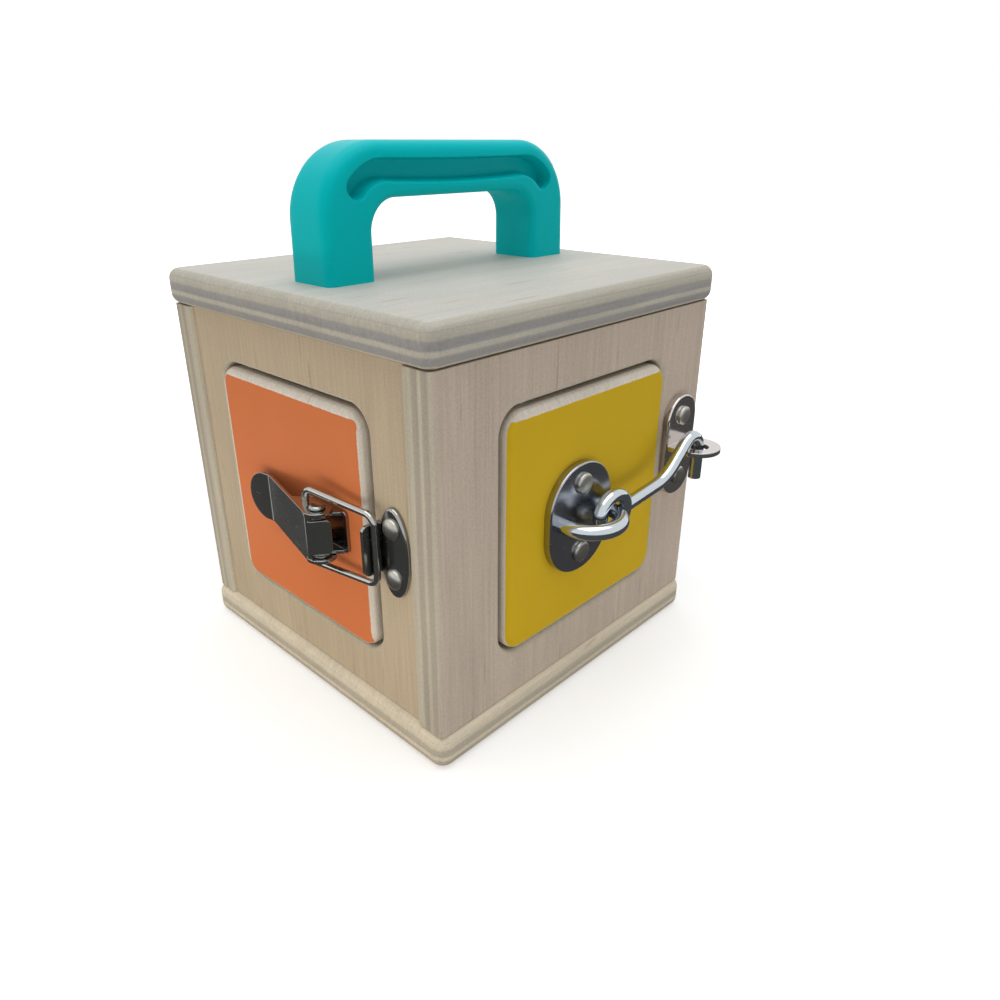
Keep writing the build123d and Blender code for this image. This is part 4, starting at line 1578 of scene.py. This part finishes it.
@dataclass
class CabinHook:
    """Hook, staple and plates on the right wall, in millimetres on that wall.

    Attributes:
        wardrobe: The finishes.
        level: Distance of the rod's axis from the wall.
        axis_up: Height of the ring's middle above the middle of the wall.
        ring_along: Place of the ring's middle to the right.
        ring_half: Half of the ring's length and height, to the middle of its wire.
        rod: Diameter of the rod.
        bend: Place of the lower bend to the right and up.
        bends: Radii of the two bends.
        peak: Place of the upper bend to the right and up.
        drop_below: How far the tip ends below the ring's middle.
        staple_middle: Place of the staple's middle to the right.
        staple_half: Half of the staple's width, to the middle of its wire.
        staple_wire: Diameter of the staple's wire.
        staple_reach: Distance of the staple's bow from the wall.
        staple_foot: Level of its feet, inside the door.
    """

    wardrobe: Wardrobe
    level: float = 11.0
    axis_up: float = -0.7
    ring_along: float = 1.0
    ring_half: tuple[float, float] = (7.6, 6.4)
    rod: float = 5.0
    bend: tuple[float, float] = (34.9, 1.5)
    bends: tuple[float, float] = (22.0, 6.0)
    peak: tuple[float, float] = (57.2, 21.6)
    drop_below: float = 3.7
    staple_middle: float = -8.6
    staple_half: float = 11.2
    staple_wire: float = 5.4
    staple_reach: float = 19.2
    staple_foot: float = -5.2

    def rod_path(self) -> list[Vector]:
        """Lay out the rod from the ring to the tip.

        Returns:
            Points of its axis.
        """
        wall = WallPlace(Side.RIGHT)
        places = (
            (self.ring_along + self.ring_half[0], self.axis_up),
            self.bend,
            self.peak,
            (self.peak[0], self.axis_up - self.drop_below),
        )
        corners = [wall.at(along, up, self.level) for along, up in places]
        return rounded_path(corners, [radius * MM for radius in self.bends], steps=16)

    def hook(self) -> None:
        """Bend the hook's rod and ring, and join them."""
        wall = WallPlace(Side.RIGHT)
        steel = self.wardrobe.get(BRIGHT_STEEL)
        shaft = wire_curve("hook_rod", self.rod_path(), round_end=1.2 * MM)
        shaft = Trees.run(shaft, Trees.wire(), Radius=self.rod / 2 * MM, Sides=32, Finish=steel)
        half_length, half_height = self.ring_half
        ring_points = [
            wall.at(self.ring_along + half_length * x, self.axis_up + half_height * y, self.level)
            for x, y in arc((0.0, 0.0), 1.0, 0, 360, 72)[:-1]
        ]
        ring = wire_curve("hook_ring", ring_points, closed=True)
        ring = Trees.run(ring, Trees.wire(), Radius=self.rod / 2 * MM, Sides=32, Finish=steel)
        slot = self.wardrobe.slot_of("hook")
        settle(shaft, "hook", slot, "hook")
        settle(ring, "hook", slot)

    def staple(self) -> None:
        """Bend the staple."""
        wall = WallPlace(Side.RIGHT)
        turn = self.staple_reach - self.staple_half
        path = [(self.staple_middle - self.staple_half, self.staple_foot)]
        path += arc((self.staple_middle, turn), self.staple_half, 180, 0, 36)
        path.append((self.staple_middle + self.staple_half, self.staple_foot))
        curve = wire_curve("eye_staple_wire", [wall.at(along, self.axis_up, out) for along, out in path])
        piece = Trees.run(
            curve, Trees.wire(), Radius=self.staple_wire / 2 * MM, Sides=32, Finish=self.wardrobe.get(BRIGHT_STEEL)
        )
        settle(piece, "right_door", self.wardrobe.slot_of("eye_staple"), "eye_staple")

    def build(self) -> None:
        """Dress the hook, the staple, the plates and their rivets."""
        self.wardrobe.dress("eye_plate", GUNMETAL)
        self.wardrobe.dress("hook_keeper", KEEPER_STEEL)
        self.hook()
        self.staple()
        eye = [(self.staple_middle, 11.7), (self.staple_middle, -14.7)]
        Fasteners(
            "eye_rivets", Side.RIGHT, eye, seat=4.8, radius=3.9, rise=1.7, finish=RIVET_STEEL, crown=0.3
        ).build(self.wardrobe)
        keeper = [(57.5, 19.8), (57.5, -5.7)]
        Fasteners(
            "keeper_rivets", Side.RIGHT, keeper, seat=3.0, radius=3.7, rise=1.7, finish=RIVET_STEEL, crown=0.3
        ).build(self.wardrobe)


@dataclass
class BarrelBolt:
    """Sliding bolt on the back door and its keeper on the wall."""

    wardrobe: Wardrobe

    def build(self) -> None:
        """Dress the bolt and its rivets."""
        for node in ("bolt_plate", "bolt_rod", "bolt_keeper"):
            self.wardrobe.dress(node, BRIGHT_STEEL)
        columns = {"bolt_plate_rivets": (-7.8, 33.8), "bolt_keeper_rivets": (50.2,)}
        for node, alongs in columns.items():
            places = [(along, up) for along in alongs for up in (-8.8, 8.8)]
            Fasteners(node, Side.BACK, places, seat=3.0, radius=2.5, rise=0.9, finish=BRIGHT_STEEL).build(self.wardrobe)


@dataclass
class TurnButton:
    """Wooden turn button beside the left door."""

    wardrobe: Wardrobe

    def build(self) -> None:
        """Dress the button, its spacer and its screw."""
        wood = PlywoodFinish(
            "Button wood",
            Axis.X,
            1.0,
            2.0,
            Axis.Z,
            veneer=BUTTON_WOOD,
            light_ply=BUTTON_WOOD,
            dark_ply=srgb(150, 108, 66),
            streak=0.9,
        )
        self.wardrobe.dress("turn_button", wood)
        self.wardrobe.dress("button_spacer", PIN_STEEL)
        self.wardrobe.dress("button_screw", BRIGHT_STEEL)


@dataclass
class Studio:
    """Camera, floor, world, lamps and glowing cards that paint reflections on the metal.

    Attributes:
        camera_place: Where the camera stands, in metres.
        azimuth: Its turn about the upright axis in degrees.
        elevation: How far it looks down in degrees.
        roll: Its turn about its own axis in degrees.
        lens: Its focal length on a sensor 36 mm wide.
        shift: Its shift to the right and up.
        floor_reach: Half of the floor's side in metres.
        floor_fade: Distances from the middle between which the floor turns white to the eye.
        floor_near: How bright the floor looks of itself under the box.
        surroundings: Strength of the world's light on matt surfaces.
        low_lamp: Height below which a lamp leaves no highlight on metal, in metres.
    """

    camera_place: tuple[float, float, float] = (0.22370, -0.20664, 0.19425)
    azimuth: float = 44.184
    elevation: float = 24.315
    roll: float = -0.202
    lens: float = 27.771
    shift: tuple[float, float] = (0.01434, -0.00757)
    floor_reach: float = 6.0
    floor_fade: tuple[float, float] = (0.12, 0.7)
    floor_near: float = 0.42
    surroundings: float = 0.36
    low_lamp: float = 0.1

    def camera(self) -> None:
        """Put the camera where the photograph was taken from."""
        data = bpy.data.cameras.new("Camera")
        data.sensor_fit = "HORIZONTAL"
        data.sensor_width = 36.0
        data.lens = self.lens
        data.shift_x, data.shift_y = self.shift
        data.clip_start, data.clip_end = 0.01, 20.0
        camera = bpy.data.objects.new("Camera", data)
        turn = Euler((math.radians(90 - self.elevation), 0.0, math.radians(self.azimuth)), "XYZ").to_matrix()
        turn = turn @ Matrix.Rotation(math.radians(self.roll), 3, "Z")
        camera.matrix_world = Matrix.Translation(self.camera_place) @ turn.to_4x4()
        bpy.context.scene.collection.objects.link(camera)
        bpy.context.scene.camera = camera

    def floor(self) -> None:
        """Lay a pale floor that keeps the shadow and reads as white to the camera."""
        mesh = bpy.data.meshes.new("Floor")
        corners = [(x * self.floor_reach, y * self.floor_reach, 0.0) for x, y in ((-1, -1), (1, -1), (1, 1), (-1, 1))]
        mesh.from_pydata(corners, [], [(0, 1, 2, 3)])
        floor = into_scene("Floor", mesh)
        material = bpy.data.materials.new("Pale floor")
        material.use_nodes = True
        material.node_tree.nodes.clear()
        graph = Graph(material.node_tree)
        matt = graph.add("ShaderNodeBsdfDiffuse")
        graph.feed(matt.inputs["Color"], (0.8, 0.79, 0.77))
        glow = graph.add("ShaderNodeEmission")
        seen = graph.add("ShaderNodeLightPath")
        mirror = graph.math("MAXIMUM", seen.outputs["Is Camera Ray"], seen.outputs["Is Glossy Ray"])
        far = graph.add("ShaderNodeVectorMath", operation="LENGTH")
        graph.feed(far.inputs[0], graph.object_place())
        white = graph.remap(far.outputs["Value"], *self.floor_fade, self.floor_near, 1.0)
        graph.feed(glow.inputs["Strength"], graph.math("MULTIPLY", mirror, white))
        both = graph.add("ShaderNodeAddShader")
        graph.feed(both.inputs[0], matt.outputs[0])
        graph.feed(both.inputs[1], glow.outputs[0])
        end = graph.add("ShaderNodeOutputMaterial")
        graph.feed(end.inputs["Surface"], both.outputs[0])
        mesh.materials.append(material)

    @staticmethod
    def card(name: str, corners: Sequence[tuple[float, float]], height: float, level: float) -> None:
        """Lay a glowing card on the floor that only polished pieces see, so that it paints a dark or bright reflection
        on them and lights nothing else.

        Args:
            name: The card's name.
            corners: Its corners on the floor in metres.
            height: Its height above the floor in metres.
            level: How bright it looks, where 1 is white.
        """
        mesh = bpy.data.meshes.new(name)
        mesh.from_pydata([(x, y, height) for x, y in corners], [], [tuple(range(len(corners)))])
        card = into_scene(name, mesh)
        material, graph, shader = blank_material(name)
        graph.feed(shader.inputs["Base Color"], (0.0, 0.0, 0.0))
        graph.feed(shader.inputs["Specular IOR Level"], 0.0)
        graph.feed(shader.inputs["Emission Color"], (1.0, 1.0, 1.0))
        graph.feed(shader.inputs["Emission Strength"], level)
        mesh.materials.append(material)
        card.visible_camera = False
        card.visible_diffuse = False
        card.visible_transmission = False
        card.visible_shadow = False

    def world(self) -> None:
        """White surroundings to the eye and to shiny pieces, softer light on the rest."""
        world = bpy.data.worlds.new("Studio")
        world.use_nodes = True
        world.node_tree.nodes.clear()
        graph = Graph(world.node_tree)
        seen = graph.add("ShaderNodeLightPath")
        direct = graph.math(
            "MAXIMUM",
            graph.math("MAXIMUM", seen.outputs["Is Camera Ray"], seen.outputs["Is Glossy Ray"]),
            seen.outputs["Is Transmission Ray"],
        )
        back = graph.add("ShaderNodeBackground")
        graph.feed(back.inputs["Color"], (1.0, 1.0, 1.0))
        graph.feed(back.inputs["Strength"], graph.remap(direct, 0.0, 1.0, self.surroundings, 1.0))
        end = graph.add("ShaderNodeOutputWorld")
        graph.feed(end.inputs["Surface"], back.outputs[0])
        bpy.context.scene.world = world

    def lamp(
        self,
        name: str,
        place: Sequence[float],
        aim: Sequence[float],
        size: tuple[float, float],
        power: float,
        colour: Colour,
    ) -> None:
        """Hang one soft lamp.

        Args:
            name: The lamp's name.
            place: Where it hangs.
            aim: What it looks at.
            size: Its width and height in metres.
            power: Its power in watts.
            colour: Its colour.
        """
        data = bpy.data.lights.new(name, "AREA")
        data.shape = "RECTANGLE"
        data.size, data.size_y = size
        data.energy = power
        data.color = colour
        lamp = bpy.data.objects.new(name, data)
        lamp.location = place
        lamp.visible_camera = False
        lamp.visible_glossy = place[2] > self.low_lamp
        lamp.rotation_euler = (Vector(aim) - Vector(place)).to_track_quat("-Z", "Y").to_euler()
        bpy.context.scene.collection.objects.link(lamp)

    def build(self) -> None:
        """Set up the whole studio."""
        self.camera()
        self.floor()
        # Painted dark reflection: a dim sheet under the box that only shiny surfaces show.
        self.card("Painted_dark_reflection_card", ((-1.1, -1.1), (1.1, -1.1), (1.1, 1.1), (-1.1, 1.1)), 0.001, 0.085)
        # Painted highlight: a bright strip at the front left that shows only in reflections, along the lever's crease.
        self.card("Painted_highlight_strip", ((-0.10, -0.135), (-0.31, -0.245), (-0.33, -0.2), (-0.11, -0.112)), 0.002, 1.0)
        self.world()
        self.lamp("Sky", (0.0, 0.0, 1.5), (0.0, 0.0, 0.1), (1.6, 1.6), 15.2, (0.95, 1.0, 1.04))
        self.lamp("Front fill", (-0.7, -1.3, 0.35), (0.0, 0.0, 0.08), (0.9, 0.9), 0.9, (1.0, 0.9, 0.74))
        self.lamp("Front bounce", (-0.01, -0.23, 0.028), (0.0, -0.07, 0.028), (0.34, 0.05), 0.11, (1.0, 0.93, 0.8))
        self.lamp("Right bounce", (0.23, 0.01, 0.028), (0.07, 0.0, 0.028), (0.34, 0.05), 0.06, (1.0, 0.97, 0.93))
        bpy.context.scene.view_settings.view_transform = "Standard"


def main() -> None:
    """Dress every sub-assembly and set the studio."""
    logging.basicConfig(level=logging.INFO, format="%(message)s")
    wardrobe = Wardrobe()
    for assembly in (
        Carcass(wardrobe),
        Doors(wardrobe),
        CarryHandle(wardrobe),
        DrawLatch(wardrobe),
        CabinHook(wardrobe),
        BarrelBolt(wardrobe),
        TurnButton(wardrobe),
        Studio(),
    ):
        assembly.build()
        LOG.info("%s done", type(assembly).__name__)


if __name__ == "__main__":
    main()
